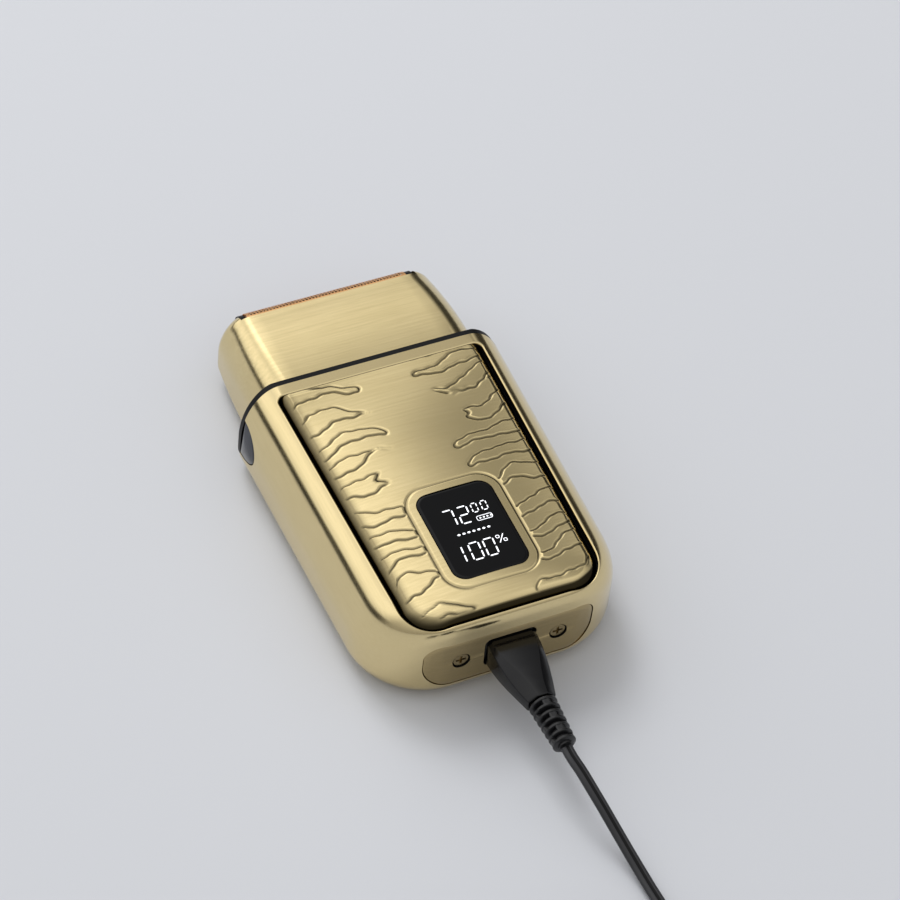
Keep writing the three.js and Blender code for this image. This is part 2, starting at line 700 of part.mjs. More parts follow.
// Main housing: one deep shell, open at the collar
function mainHousing() {
  const open = innerSolid(0, overrun)
    .subtract(box(-bodyHalfTop, bodyHalfTop, -bodyEnd - overrun, -bodyEnd + endWall, 0, bodyThick));
  const throat = roundedBox(-plateHalf + throatMargin, plateHalf - throatMargin,
    plateLow + throatMargin / 2, plateHigh - throatMargin / 2, throatRound);
  let shell = bodySolid(0).subtract(open)
    .subtract(pulledZ(panelOutline(seat), panelFloor, bodyThick + overrun))
    .subtract(lensPrism(seat - moduleMargin, innerFloor - overrun, panelFloor + overrun))
    .subtract(pulledY(plateOutline(seat), -bodyEnd - overrun, plateBack + seat))
    .subtract(pulledY(throat, -bodyEnd, -bodyEnd + endWall + overrun));
  for (const side of [-1, 1]) {
    const inner = side * (flangeBack - overrun);
    const outer = side * (bodyHalfTop + overrun);
    shell = shell.subtract(pulledX(buttonOval(seat, bodyTop + overrun - buttonEdge), inner, outer));
  }
  return shell
    .subtract(rodZ(powerRadius + seat, -overrun, shellWall + overrun, 0, -powerPlace, 24))
    .subtract(rodZ(powerDish + powerDishDeep, -powerDishDeep, powerDishDeep, 0, -powerPlace, 32,
      powerDish - powerDishDeep));
}

// Power button and the switch behind it
const switchFace = boardHigh - switchTall;

function powerButton() {
  const face = powerDishDeep;
  const flangeLow = shellWall + seat;
  const stemEnd = switchFace - powerTravel - runFit;
  return rodZ(powerRadius, face, flangeLow + powerFlangeThick, 0, -powerPlace, 24)
    .add(rodZ(powerRadius + powerFlange, flangeLow, flangeLow + powerFlangeThick, 0, -powerPlace, 24))
    .add(rodZ(powerStem, flangeLow, stemEnd, 0, -powerPlace, 12));
}

const tactSwitch = () => box(-switchHalf, switchHalf, -powerPlace - switchHalf, -powerPlace + switchHalf,
  switchFace, boardHigh);

// Board, charging socket and cell
const frameLow = shellWall + seat;
const frameEnd = bodyEnd - endWall - seat;
const boardEnd = frameEnd - frameFloorThick;
const boardFace = boardHigh + boardThick;
const cellRadius = (innerFloor - boardFace) / 2 - cellRoom;
const cellHigh = boardFace + seat + cellRadius;
const motorEnd = motorTop - motorLong;
const boardTop = motorEnd - cellGap;
const cellLong = cellEnd + motorEnd - cellGap;
const socketFace = plateFace + socketSink;
const socketBack = socketFace + socketDeep;

const circuitBoard = () => pulledZ(roundedBox(-boardHalf, boardHalf, -boardEnd + seat, boardTop, boardCorner),
  boardHigh, boardFace);

function chargeSocket() {
  const cavityEnd = -plugFace + noseLong + seat;
  const mouth = roundedBox(-noseHalfWide - seat, noseHalfWide + seat,
    socketHigh - noseHalfTall - seat, socketHigh + noseHalfTall + seat, noseRound + seat);
  const pins = box(-socketPinWide / 2, socketPinWide / 2, socketBack - socketPinLong, socketBack,
    boardFace, socketHigh);
  return pulledY(portOutline(-seat), socketFace, socketBack)
    .subtract(pulledY(mouth, socketFace - overrun, cavityEnd))
    .add(pins);
}

function batteryCell() {
  const end = -cellEnd + cellLong;
  return rodY(cellRadius, -cellEnd, end - cellContactTall, 0, cellHigh, 28)
    .add(rodY(cellContactRadius, end - cellContactTall - overrun, end, 0, cellHigh, 16));
}

// Motor can with its bearing boss
const bossTop = motorTop + motorBossTall;
const motorOutline = (grow) => roundedBox(-motorHalf - grow, motorHalf + grow,
  motorHigh - motorHalfTall - grow, motorHigh + motorHalfTall + grow, motorHalfTall - runFit);

function motorCan() {
  let can = pulledY(motorOutline(0), motorEnd, motorTop)
    .add(rodY(motorBoss, motorTop - overrun, bossTop, 0, motorHigh))
    .subtract(rodY(shaftRadius + runFit, bossTop - shaftSunk, bossTop + overrun, 0, motorHigh, 16));
  for (const side of [-1, 1]) {
    const deep = motorScrewLong - seat - guideWall;
    const x = side * motorScrewPlace;
    can = can.subtract(rodY(motorScrewShank / 2 + seat, motorTop - deep, motorTop + overrun, x, motorHigh, 12));
  }
  return can;
}

// Inner frame: a moulded carrier with a trough for the cell, a pocket for the motor and one for the board
const frameTop = guideFoot - seat;
const notchX = hookFace - hookThick - buttonTravel - seat;
const pocketEnd = bodyEnd - framePocketReach;

function innerFrame() {
  const high = frameHigh + overrun;
  const blank = box(-frameHalf, frameHalf, -frameEnd, frameTop, frameLow, frameHigh).intersect(innerSolid(seat));
  const trough = rodY(cellRadius + seat, -cellEnd - seat, -cellEnd + cellLong + seat, 0, cellHigh, 28)
    .add(box(-cellRadius - seat, cellRadius + seat, -cellEnd - seat, -cellEnd + cellLong + seat, cellHigh, high));
  const motorSide = motorHalf + seat;
  const boardSide = boardHalf + seat;
  let frame = blank.subtract(trough)
    .subtract(pulledY(motorOutline(seat), motorEnd - seat, frameTop + overrun))
    .subtract(box(-motorSide, motorSide, motorEnd - seat, frameTop + overrun, motorHigh, high))
    .subtract(box(-boardSide, boardSide, -boardEnd, boardTop + seat, frameLow - overrun, boardFace + seat))
    .subtract(box(-portHalf, portHalf, -frameEnd - overrun, socketBack + seat, boardFace, high));
  for (const side of [-1, 1]) {
    const pocket = side * (mix(boardSide, frameHalf, 1 / 2));
    const armLow = buttonHigh - hookHalf - seat;
    const armHigh = buttonHigh + hookHalf + seat;
    const screwEnd = screwFace + screwLong + seat;
    frame = frame
      .subtract(rodY(screwShank / 2 + seat, -frameEnd - overrun, screwEnd, side * screwPlace, socketHigh, 12))
      .subtract(box(pocket - framePocketHalf, pocket + framePocketHalf, -pocketEnd, framePocketTop,
        frameLow + frameFloorThick, high))
      .subtract(box(side * notchX, side * (frameHalf + overrun), buttonPlace + hookStart - seat, frameTop + overrun,
        armLow, armHigh));
  }
  return frame;
}

// Drive guide: closes the mouth of the housing and guides the two slides
const guideFloor = motorTop + seat;
const guideFloorTop = guideFloor + guideWall;
const slideStart = guideFloorTop + motorScrewHeadTall + seat;
const slideStarts = [slideStart, slideStart + slideThick + slideGap];
const slidesEnd = slideStarts[1] + slideThick;
const guideTop = slidesEnd + seat + guideWall;
const camReach = camRadius + camThrow;
const postHalfTall = foilSpread - camReach - forkRoom;

function driveGuide() {
  const room = guideHalfTall - guideWall;
  const half = guideHalf - guideWall;
  const flangeTop = guideFoot + guideFlange;
  const flange = box(-frameHalf, frameHalf, guideFoot, flangeTop, frameLow, bodyThick).intersect(innerSolid(seat));
  const outline = roundedBox(-guideHalf, guideHalf, motorHigh - guideHalfTall, motorHigh + guideHalfTall,
    guideCorner);
  const inner = roundedBox(-half, half, motorHigh - room, motorHigh + room, guideCorner / 2);
  let guide = flange.add(pulledY(outline, guideFoot, guideTop))
    .subtract(pulledY(inner, guideFloorTop, slidesEnd + seat))
    .subtract(pulledY(motorOutline(seat), guideFoot - overrun, guideFloor))
    .subtract(rodY(motorBoss + seat, guideFloor - overrun, guideFloorTop + overrun, 0, motorHigh));
  for (const side of [-1, 1]) {
    const z = motorHigh + side * foilSpread;
    const x = postHalfWide + camThrow + seat;
    const low = guideFloor - overrun;
    guide = guide
      .subtract(box(-x, x, slidesEnd, guideTop + overrun, z - postHalfTall - seat, z + postHalfTall + seat))
      .subtract(rodY(motorScrewShank / 2 + seat, low, guideFloorTop + overrun, side * motorScrewPlace, motorHigh, 12))
      .subtract(box(side * notchX, side * (frameHalf + overrun), guideFoot - overrun, flangeTop + overrun,
        buttonHigh - hookHalf - seat, buttonHigh + hookHalf + seat));
  }
  return guide;
}

function motorScrew(side) {
  const top = guideFloorTop + motorScrewHeadTall;
  const tip = guideFloorTop - motorScrewLong + seat;
  const x = side * motorScrewPlace;
  const cross = (dx, dz) => box(x - dx, x + dx, top - crossDeep, top + overrun, motorHigh - dz, motorHigh + dz);
  return rodY(motorScrewHead / 2, guideFloorTop, top, x, motorHigh, 16)
    .add(rodY(motorScrewShank / 2, tip, top - motorScrewHeadTall / 2, x, motorHigh, 12))
    .subtract(cross(crossLong / 2, crossWide / 2))
    .subtract(cross(crossWide / 2, crossLong / 2));
}

const motorShaft = () => rodY(shaftRadius, bossTop - shaftSunk + seat, slidesEnd, 0, motorHigh, 16);

// Two eccentric discs on one hub, set opposite each other
function driveCams() {
  const discs = [1, -1].map((side, i) =>
    rodY(camRadius, slideStarts[i], slideStarts[i] + slideThick, 0, motorHigh + side * camThrow, 28));
  const hub = rodY(shaftRadius + camThrow - runFit, slideStarts[0] + seat, slidesEnd - seat, 0, motorHigh, 20);
  return joined([...discs, hub])
    .subtract(rodY(shaftRadius + runFit, slideStart - overrun, slidesEnd + overrun, 0, motorHigh, 16));
}

// Forked slide: side is 1 for the front foil and -1 for the rear foil
const carrierTop = foilAxis - cutterFoot - seat;
const sleeveCeiling = carrierTop - sleeveRoof;
const postTop = sleeveCeiling - cutterSpringLong - 2 * runFit;

function driveYoke(side) {
  const y0 = slideStarts[side > 0 ? 0 : 1];
  const y1 = y0 + slideThick;
  const inner = camRadius + 2 * camThrow + forkRoom;
  const outer = inner + prongWide;
  const low = camReach + forkRoom;
  const high = guideHalfTall - guideWall - seat;
  const span = (a, b) => [motorHigh + side * a, motorHigh + side * b].sort((p, q) => p - q);
  const [bridge0, bridge1] = span(low, high);
  const [prong0, prong1] = span(-camReach, high);
  const [post0, post1] = span(foilSpread - postHalfTall, foilSpread + postHalfTall);
  return joined([
    box(-outer, outer, y0, y1, bridge0, bridge1),
    box(inner, outer, y0, y1, prong0, prong1),
    box(-outer, -inner, y0, y1, prong0, prong1),
    box(-postHalfWide, postHalfWide, y0, postTop, post0, post1),
  ]);
}

const bladeRadius = foilRadius - foilThick - cutterGap;
const coreRadius = bladeRadius * coreShare;

// Cutter carrier: slides on the post, and a spring in its sleeve lifts it against the foil
function cutterCarrier(side) {
  const z = motorHigh + side * foilSpread;
  const lipIn = coreRadius + seat;
  const lips = [-1, 1].flatMap((a) => [-1, 1].map((b) => {
    const end = a * carrierHalfLong;
    return box(end, end - a * carrierLipLong, carrierTop - overrun, carrierTop + carrierLipTall,
      z + b * lipIn, z + b * carrierHalf);
  }));
  const sleeveFoot = carrierTop - carrierTall - sleeveLong;
  return joined([
    box(-carrierHalfLong, carrierHalfLong, carrierTop - carrierTall, carrierTop, z - carrierHalf, z + carrierHalf),
    box(-sleeveHalf, sleeveHalf, sleeveFoot, carrierTop - carrierTall + overrun, z - carrierHalf, z + carrierHalf),
    ...lips,
  ]).subtract(box(-postHalfWide - seat, postHalfWide + seat, sleeveFoot - overrun, sleeveCeiling,
    z - postHalfTall - seat, z + postHalfTall + seat));
}

function cutterSpring(side) {
  const start = new THREE.Vector3(0, postTop + runFit, motorHigh + side * foilSpread);
  const axis = new THREE.Vector3(0, 1, 0);
  return toSolid(spring(start, axis, cutterSpringLong, cutterSpringRadius, cutterSpringWire, cutterSpringTurns));
}

// Inner cutter: a row of half discs on a core bar, with open slots between them
function cutterBlock(side) {
  const z = motorHigh + side * foilSpread;
  const half = (radius, steps) => count(steps + 1, (i) => {
    const a = 2 * quarter * i / steps - quarter;
    return [foilAxis + radius * Math.cos(a), z + radius * Math.sin(a)];
  });
  const pitch = 2 * cutterHalfLong / (cutterBlades - 1 + bladeShare);
  const foot = foilAxis - cutterFoot;
  const bar = [[foot, z - coreRadius], ...half(coreRadius, 6), [foot, z + coreRadius]];
  const core = pulledX(bar, -cutterHalfLong, cutterHalfLong);
  const blades = count(cutterBlades, (i) => {
    const x = -cutterHalfLong + i * pitch;
    return pulledX(half(bladeRadius, 8), x, x + pitch * bladeShare);
  });
  return joined([core, ...blades]);
}

// Foils: thin sheets bent over the cutters, with two straight legs
function foil(side) {
  const z = motorHigh + side * foilSpread;
  const bend = (radius, steps) => count(steps + 1, (i) => {
    const a = 2 * quarter * i / steps - quarter;
    return [foilAxis + radius * Math.cos(a), z + radius * Math.sin(a)];
  });
  const outer = bend(foilRadius, 14);
  const inner = bend(foilRadius - foilThick, 14).reverse();
  const foot = foilAxis - foilLeg;
  const sheet = [[foot, outer[0][1]], ...outer, [foot, outer[outer.length - 1][1]],
    [foot, inner[0][1]], ...inner, [foot, inner[inner.length - 1][1]]];
  return pulledX(sheet, -foilHalfLong, foilHalfLong);
}

// Foil frame: a ring round the two carriers, with end caps and two latch arms
function foilFrame() {
  const reach = foilSpread + foilRadius + foilThick / 2;
  const ring = roundedBox(-foilFrameHalf, foilFrameHalf, motorHigh - reach, motorHigh + reach, foilFrameCorner);
  const armFoot = foilFrameFoot - armLong;
  const armLow = motorHigh - armHalf;
  const armHigh = motorHigh + armHalf;
  const arms = [-1, 1].map((side) => box(side * (foilFrameHalf - armThick), side * foilFrameHalf,
    armFoot, foilFrameFoot + overrun, armLow, armHigh));
  let frame = joined([pulledY(ring, foilFrameFoot, foilFrameTop), ...arms])
    .intersect(headRoom(headWall + seat, foilFrameTop + overrun));
  const inner = foilRadius - foilThick;
  const capIn = foilHalfLong + seat;
  const windowFoot = armFoot + armWindowFoot;
  for (const side of [-1, 1]) {
    const z = motorHigh + side * foilSpread;
    const cap = count(9, (i) => {
      const a = 2 * quarter * i / 8 - quarter;
      return [foilAxis + inner * Math.cos(a), z + inner * Math.sin(a)];
    });
    const capOutline = [[foilFrameTop - overrun, z - inner], ...cap, [foilFrameTop - overrun, z + inner]];
    const caps = [-1, 1].map((end) => pulledX(capOutline, end * capIn, end * (capIn + capLong)));
    const armIn = side * (foilFrameHalf - armThick - overrun);
    const armOut = side * (foilFrameHalf + overrun);
    frame = joined([frame, ...caps])
      .subtract(box(-foilHalfLong, foilHalfLong, foilFrameFoot - overrun, foilFrameTop + overrun, z - inner, z + inner))
      .subtract(box(armIn, armOut, windowFoot, windowFoot + armWindowLong,
        motorHigh - armWindowHalf, motorHigh + armWindowHalf));
  }
  return frame;
}

// Head cover: tapers to the foils, with a rounded front and a domed top at both ends
function headCover() {
  const domeShares = [0.35, 0.62, 0.82, 0.95, 1];
  const stations = [
    ...headSideShares.map((share) => mix(headStart, headShoulder, share)),
    ...domeShares.map((share) => mix(headShoulder, headTop, share)),
  ];
  const foilRoom = foilSpread + foilRadius + seat;
  const cavityTop = foilFrameTop + seat;
  const outer = toSolid(loftY(stations.map((y) => ({ y, outline: headOutline(y, 0) }))));
  return outer.subtract(headRoom(headWall, cavityTop))
    .subtract(box(-foilOpenHalf, foilOpenHalf, cavityTop - overrun, headTop + overrun,
      motorHigh - foilRoom, motorHigh + foilRoom))
    .subtract(box(-foilOpenHalf, foilOpenHalf, headTop - foilOpenDeep, headTop + overrun, 0, bodyThick))
    .subtract(rodX(cheekDipRadius, -headHalfTop, headHalfTop, headTop + cheekDipRadius - cheekDipDeep, motorHigh, 32))
    .subtract(bodySolid(-overrun, -overrun, bodyThick + overrun, headFoot - bodyTop));
}

function collarRing() {
  const band = box(-bodyHalfTop, bodyHalfTop, bodyTop - collarDip - overrun, headTop, 0, bodyThick);
  return bodySolid(collarInset, collarInset, bodyThick - collarInset, collarGap + collarThick)
    .intersect(band)
    .subtract(bodySolid(-seat, -seat, bodyThick + seat, collarGap))
    .subtract(pulledY(headOutline(headFoot, headWall + collarLip), -bodyEnd, headTop));
}

// Charging plug: its body narrows to the strain relief
function chargePlug() {
  const stations = plugStationShares.map((share, i) => {
    const wide = plugHalfWide * plugWideShares[i];
    const tall = plugHalfTall * plugTallShares[i];
    return { y: -plugFace - plugLong * share,
      outline: roundedBox(-wide, wide, socketHigh - tall, socketHigh + tall, plugRound, plugRound, 3) };
  }).reverse();
  const nose = roundedBox(-noseHalfWide, noseHalfWide, socketHigh - noseHalfTall, socketHigh + noseHalfTall,
    noseRound);
  return toSolid(loftY(stations)).add(pulledY(nose, -plugFace - overrun, -plugFace + noseLong));
}

const bootStart = -plugFace - plugLong - seat;
const bootStop = bootStart - bootLong;

function plugBoot() {
  const pitch = bootLong / bootRibs;
  const profile = [[0, 0]];
  for (let i = 0; i < bootRibs; i++) {
    const radius = mix(bootRadius, bootEndRadius, i / (bootRibs - 1));
    const groove = radius * bootGrooveShare;
    const depths = [groove, radius, radius, groove];
    depths.forEach((depth, j) => profile.push([depth, (i + ribShares[j]) * pitch]));
  }
  const [first, last] = [profile[1], profile[profile.length - 1]];
  const ends = [[0, 0], [first[0], 0], ...profile.slice(1), [last[0], bootLong], [0, bootLong]];
  const geometry = new THREE.LatheGeometry(ends.map(([r, y]) => new THREE.Vector2(r, y)), 12);
  return toSolid(geometry.rotateX(2 * quarter).translate(0, bootStart, socketHigh));
}

// Free cord: hangs from the plug, comes down on the surface and runs to the coil
const cordOut = bootStop - seat;
const coilY = cordOut - coilReach;
const gripY = coilY + gripRise;
const layerHeight = (layer) => tieThick + seat + cordWide / 2 + coilPitch * layer;
const coilFoot = layerHeight(0);
const coilHead = layerHeight(coilLayers - 1);
const coilLead = cordWide;     // straight ends of the coil

function freeCord(points) {
  const curve = new THREE.CatmullRomCurve3(points.map((p) => new THREE.Vector3(...p)));
  const section = new THREE.Shape(count(cordSides, (i) => {
    const a = 4 * quarter * i / cordSides;
    return new THREE.Vector2(cordWide / 2 * Math.cos(a), cordWide / 2 * Math.sin(a));
  }));
  const steps = Math.ceil(curve.getLength() / cordStep);
  console.log('free cord', curve.getLength().toFixed(1), 'mm in', steps, 'steps');
  return toSolid(new THREE.ExtrudeGeometry(section, { steps, bevelEnabled: false, extrudePath: curve }));
}

const chargeCord = () => freeCord([
  [0, cordOut, socketHigh], [0, cordOut - cordWide, socketHigh],
  ...cordFall.map(([x, out, z]) => [x, cordOut - out, z]),
  [coilX + coilOuter, coilY + coilLead + 3 * cordWide, coilFoot - seat],
  [coilX + coilOuter, coilY + coilLead + seat + cordWide, coilFoot],
  [coilX + coilOuter, coilY + coilLead + seat, coilFoot],
]);

// Coil: spirals in and out at a steady rate and climbs a layer in each half turn where it reverses
function coilPoint(turn) {
  const perLayer = coilTurns / coilLayers;
  const layer = Math.min(coilLayers - 1, Math.floor(turn / perLayer));
  const within = turn - layer * perLayer;
  const inward = layer % 2 === 0 ? within : perLayer - within;
  const radius = coilOuter - coilPitch * inward;
  const climb = count(coilLayers - 1, (i) => {
    const t = Math.min(1, Math.max(0, (turn - (i + 1) * perLayer) * 2 + 1 / 2));
    return (1 - Math.cos(2 * quarter * t)) / 2;
  }).reduce((sum, share) => sum + share);
  const a = -4 * quarter * turn;
  return new THREE.Vector3(coilX + radius * Math.cos(a), coilY + radius * Math.sin(a), coilFoot + coilPitch * climb);
}

function cordCoil() {
  const turns = count(Math.round(coilTurns * coilSteps) + 1, (i) => coilPoint(i / coilSteps));
  const start = turns[0].clone().add(new THREE.Vector3(0, coilLead, 0));
  const stop = turns[turns.length - 1].clone().add(new THREE.Vector3(-coilLead, 0, 0));
  const points = [start, ...turns, stop];
  let least = Infinity;
  points.forEach((p, i) => points.slice(i + coilSteps / 2).forEach((q) => {
    least = Math.min(least, p.distanceTo(q) - cordWide);
  }));
  console.log('coil: least gap to itself', least.toFixed(2), 'mm');
  return toSolid(tube(points, cordWide / 2, coilSides, new THREE.Vector3(0, 0, 1)));
}

const tailStart = coilX - coilLead - seat;
const tailY = coilY - coilOuter;
const gripCordY = gripY - gripNeckLong - seat;

const [farShare, midShare, nearShare] = tailBendShares;

const cordTail = () => freeCord([
  [tailStart, tailY, coilHead], [tailStart - cordWide, tailY, coilHead],
  ...tailFall.map(([out, z]) => [coilX - out, tailY, z]), [gripX + tailBend, tailY, tailHigh],
  [gripX + farShare * tailBend, tailY + nearShare * tailBend, gripHalfTall],
  [gripX + midShare * tailBend, tailY + midShare * tailBend, gripHalfTall],
  [gripX + nearShare * tailBend, tailY + farShare * tailBend, gripHalfTall],
  [gripX, tailY + tailBend, gripHalfTall],
  [gripX, gripCordY - cordWide, gripHalfTall], [gripX, gripCordY, gripHalfTall],
]);

// Tie: a flat strap closed round the bundle of turns, on its near side
function cordTie() {
  const innermost = coilOuter - coilPitch * coilTurns / coilLayers;
  const inner = Math.sqrt(innermost ** 2 - tieHalfWide ** 2);
  const room = cordWide / 2 + seat;
  const u0 = coilY - coilOuter - room;
  const u1 = coilY - inner + room;
  const top = coilHead + room;
  const round = tieRound + tieThick;
  const outer = roundedBox(u0 - tieThick, u1 + tieThick, 0, top + tieThick, round, round);
  const hole = roundedBox(u0, u1, tieThick, top, tieRound, tieRound);
  return pulledX(outer, coilX - tieHalfWide, coilX + tieHalfWide)
    .subtract(pulledX(hole, coilX - tieHalfWide - overrun, coilX + tieHalfWide + overrun));
}

// Far end of the lead: grip with a short neck, metal shell and contact tongue
function usbGrip() {
  const front = gripY + gripLong;
  const outline = (wide, tall, round) =>
    roundedBox(gripX - wide, gripX + wide, gripHalfTall - tall, gripHalfTall + tall, round, round, 3);
  const edge = gripRound / 2;
  const stations = [
    { y: gripY, outline: outline(gripHalfWide - edge, gripHalfTall - edge, gripRound) },
    { y: gripY + edge, outline: outline(gripHalfWide, gripHalfTall, gripRound) },
    { y: front - edge / 2, outline: outline(gripHalfWide, gripHalfTall, gripRound) },
    { y: front, outline: outline(gripHalfWide - edge / 2, gripHalfTall - edge / 2, gripRound) },
  ];
  const recess = outline(usbHalfWide + seat, usbHalfTall + seat, usbRound + seat);
  return toSolid(loftY(stations))
    .add(rodY(gripNeckHalf, gripY - gripNeckLong, gripY + overrun, gripX, gripHalfTall, 16))
    .subtract(pulledY(recess, front - usbSunk, front + overrun));
}

const usbStart = gripY + gripLong - usbSunk + seat;
const usbEnd = usbStart + usbLong;

function usbShell() {
  const outline = (grow) => roundedBox(gripX - usbHalfWide - grow, gripX + usbHalfWide + grow,
    gripHalfTall - usbHalfTall - grow, gripHalfTall + usbHalfTall + grow, usbRound + grow);
  return pulledY(outline(0), usbStart, usbEnd)
    .subtract(pulledY(outline(-usbSheet), usbStart - overrun, usbEnd + overrun));
}

function usbTongue() {
  const top = gripHalfTall + usbHalfTall - usbSheet - seat;
  return box(gripX - tongueHalf, gripX + tongueHalf, usbStart, usbEnd - tongueShort, top - tongueThick, top);
}

const group = new THREE.Group();
function add(name, shape, finish) {
  const geometry = toGeometry(shape);
  const mesh = new THREE.Mesh(geometry, new THREE.MeshStandardMaterial(finish));
  mesh.name = name;
  group.add(mesh);
}

const gold = { color: 0xc9b37c, roughness: 0.32, metalness: 1 };
const copper = { color: 0xc98a52, roughness: 0.4, metalness: 1 };
const steel = { color: 0xb9bbbd, roughness: 0.35, metalness: 1 };
const darkSteel = { color: 0x2a2a2c, roughness: 0.4, metalness: 1 };
const blackPlastic = { color: 0x17171a, roughness: 0.45, metalness: 0 };
const greyPlastic = { color: 0x4a4a4c, roughness: 0.5, metalness: 0 };
const glossBlack = { color: 0x0c0c0e, roughness: 0.08, metalness: 0 };
const whiteNylon = { color: 0xe6e4dc, roughness: 0.5, metalness: 0 };
const boardGreen = { color: 0x1f5a3a, roughness: 0.5, metalness: 0 };
const cellSleeve = { color: 0x2f6fb0, roughness: 0.4, metalness: 0 };
const cordBlack = { color: 0x1b1b1d, roughness: 0.55, metalness: 0 };

add('main_housing', mainHousing(), gold);
add('front_panel', frontPanel(), gold);
add('display_lens', displayLens(), glossBlack);
add('display_module', displayModule(), blackPlastic);
add('end_plate', endPlate(), gold);
add('power_button', powerButton(), blackPlastic);
add('tact_switch', tactSwitch(), blackPlastic);
add('circuit_board', circuitBoard(), boardGreen);
add('charge_socket', chargeSocket(), blackPlastic);
add('battery_cell', batteryCell(), cellSleeve);
add('inner_frame', innerFrame(), blackPlastic);
add('motor_can', motorCan(), steel);
add('motor_shaft', motorShaft(), steel);
add('drive_cams', driveCams(), whiteNylon);
add('drive_guide', driveGuide(), blackPlastic);
add('collar_ring', collarRing(), blackPlastic);
add('head_cover', headCover(), gold);
add('foil_frame', foilFrame(), blackPlastic);
for (const [end, side] of [['left', -1], ['right', 1]]) {
  add(`end_screw_${end}`, endScrew(side), darkSteel);
  add(`motor_screw_${end}`, motorScrew(side), darkSteel);
  add(`release_button_${end}`, releaseButton(side), greyPlastic);
  add(`release_spring_${end}`, releaseSpring(side), steel);
}
for (const [place, side] of [['front', 1], ['rear', -1]]) {
  add(`drive_yoke_${place}`, driveYoke(side), whiteNylon);
  add(`cutter_carrier_${place}`, cutterCarrier(side), blackPlastic);
  add(`cutter_spring_${place}`, cutterSpring(side), steel);
  add(`cutter_block_${place}`, cutterBlock(side), steel);
  add(`foil_${place}`, foil(side), copper);
}
add('charge_plug', chargePlug(), blackPlastic);
add('plug_boot', plugBoot(), cordBlack);
add('charge_cord', chargeCord(), cordBlack);
add('cord_coil', cordCoil(), cordBlack);
add('cord_tail', cordTail(), cordBlack);
add('cord_tie', cordTie(), blackPlastic);
add('usb_grip', usbGrip(), blackPlastic);
add('usb_shell', usbShell(), steel);
add('usb_tongue', usbTongue(), blackPlastic);

export default group;
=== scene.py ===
import bpy, bmesh, math
import numpy as np
from mathutils import Matrix, Vector


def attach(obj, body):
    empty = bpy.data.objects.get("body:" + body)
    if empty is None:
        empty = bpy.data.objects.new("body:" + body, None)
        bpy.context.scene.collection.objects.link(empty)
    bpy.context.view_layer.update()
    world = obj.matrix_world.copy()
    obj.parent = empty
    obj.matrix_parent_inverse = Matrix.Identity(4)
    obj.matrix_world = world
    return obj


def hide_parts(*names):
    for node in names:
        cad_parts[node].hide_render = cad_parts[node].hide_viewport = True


# Foil shaver in champagne gold, lying on its back with its charging lead plugged in
# Places are in millimetres in the part's own frame, and scaled to metres when a mesh is made

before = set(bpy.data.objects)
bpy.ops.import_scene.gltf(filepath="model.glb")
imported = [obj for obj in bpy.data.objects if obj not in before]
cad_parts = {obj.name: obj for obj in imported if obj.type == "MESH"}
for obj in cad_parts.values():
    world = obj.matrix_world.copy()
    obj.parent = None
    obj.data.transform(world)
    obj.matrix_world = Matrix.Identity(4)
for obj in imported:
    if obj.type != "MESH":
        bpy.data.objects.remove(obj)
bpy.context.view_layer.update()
mm = 0.001
quarter = math.pi / 2


def mix(a, b, share):
    return a + (b - a) * share


def smoothStep(low, high, value):
    t = np.clip((value - low) / (high - low), 0, 1)
    return t * t * (3 - 2 * t)


# Camera at the angle of the photograph, on a long lens
shot = {"azimuth": -28.95, "elevation": 48.888, "roll": 6.714, "distance": 871.74,
        "target": (15.7465, 11.4739, 0), "focalPixels": 3735.88, "picturePixels": 900, "sensor": 36,
        "nearest": 0.01}
turn, rise, roll = (math.radians(shot[name]) for name in ("azimuth", "elevation", "roll"))
ahead = Vector((-math.sin(turn) * math.cos(rise), math.cos(turn) * math.cos(rise), -math.sin(rise)))
level = ahead.cross(Vector((0, 0, 1))).normalized()
across = level * math.cos(roll) + level.cross(ahead) * math.sin(roll)
upward = across.cross(ahead)
camera = bpy.data.objects.new("camera", bpy.data.cameras.new("camera"))
bpy.context.scene.collection.objects.link(camera)
camera.matrix_world = Matrix((across, upward, -ahead)).transposed().to_4x4()
camera.location = (Vector(shot["target"]) - ahead * shot["distance"]) * mm
camera.data.sensor_width = shot["sensor"]
camera.data.lens = shot["focalPixels"] / shot["picturePixels"] * shot["sensor"]
camera.data.clip_start = shot["nearest"]
bpy.context.scene.camera = camera
bpy.context.scene.view_settings.view_transform = "Standard"
print("camera set")


# Materials
def linear(code):
    parts = [int(code[i:i + 2], 16) / 255 for i in (1, 3, 5)]
    return tuple(c / 12.92 if c <= 0.04045 else ((c + 0.055) / 1.055) ** 2.4 for c in parts) + (1,)


def inputOf(node, name):
    if isinstance(name, int):
        return node.inputs[name]
    return next(socket for socket in node.inputs if socket.name == name and socket.enabled)


def addNode(material, kind, inputs=None, **settings):
    node = material.node_tree.nodes.new(kind)
    for name, value in settings.items():
        setattr(node, name, value)
    for name, value in (inputs or {}).items():
        socket = inputOf(node, name)
        if isinstance(value, bpy.types.NodeSocket):
            material.node_tree.links.new(value, socket)
        else:
            socket.default_value = value
    return node


def newMaterial(name):
    material = bpy.data.materials.new(name)
    material.use_nodes = True
    material.node_tree.nodes.clear()
    return material


def finishMaterial(material, shader):
    addNode(material, "ShaderNodeOutputMaterial", {"Surface": shader.outputs["BSDF"]})
    return material


def grain(material, size, detail=3, stretch=(1, 1, 1)):
    place = addNode(material, "ShaderNodeTexCoord").outputs["Object"]
    mapped = addNode(material, "ShaderNodeMapping", {"Vector": place, "Scale": stretch})
    return addNode(material, "ShaderNodeTexNoise",
                   {"Vector": mapped.outputs["Vector"], "Scale": 1 / (size * mm), "Detail": detail})


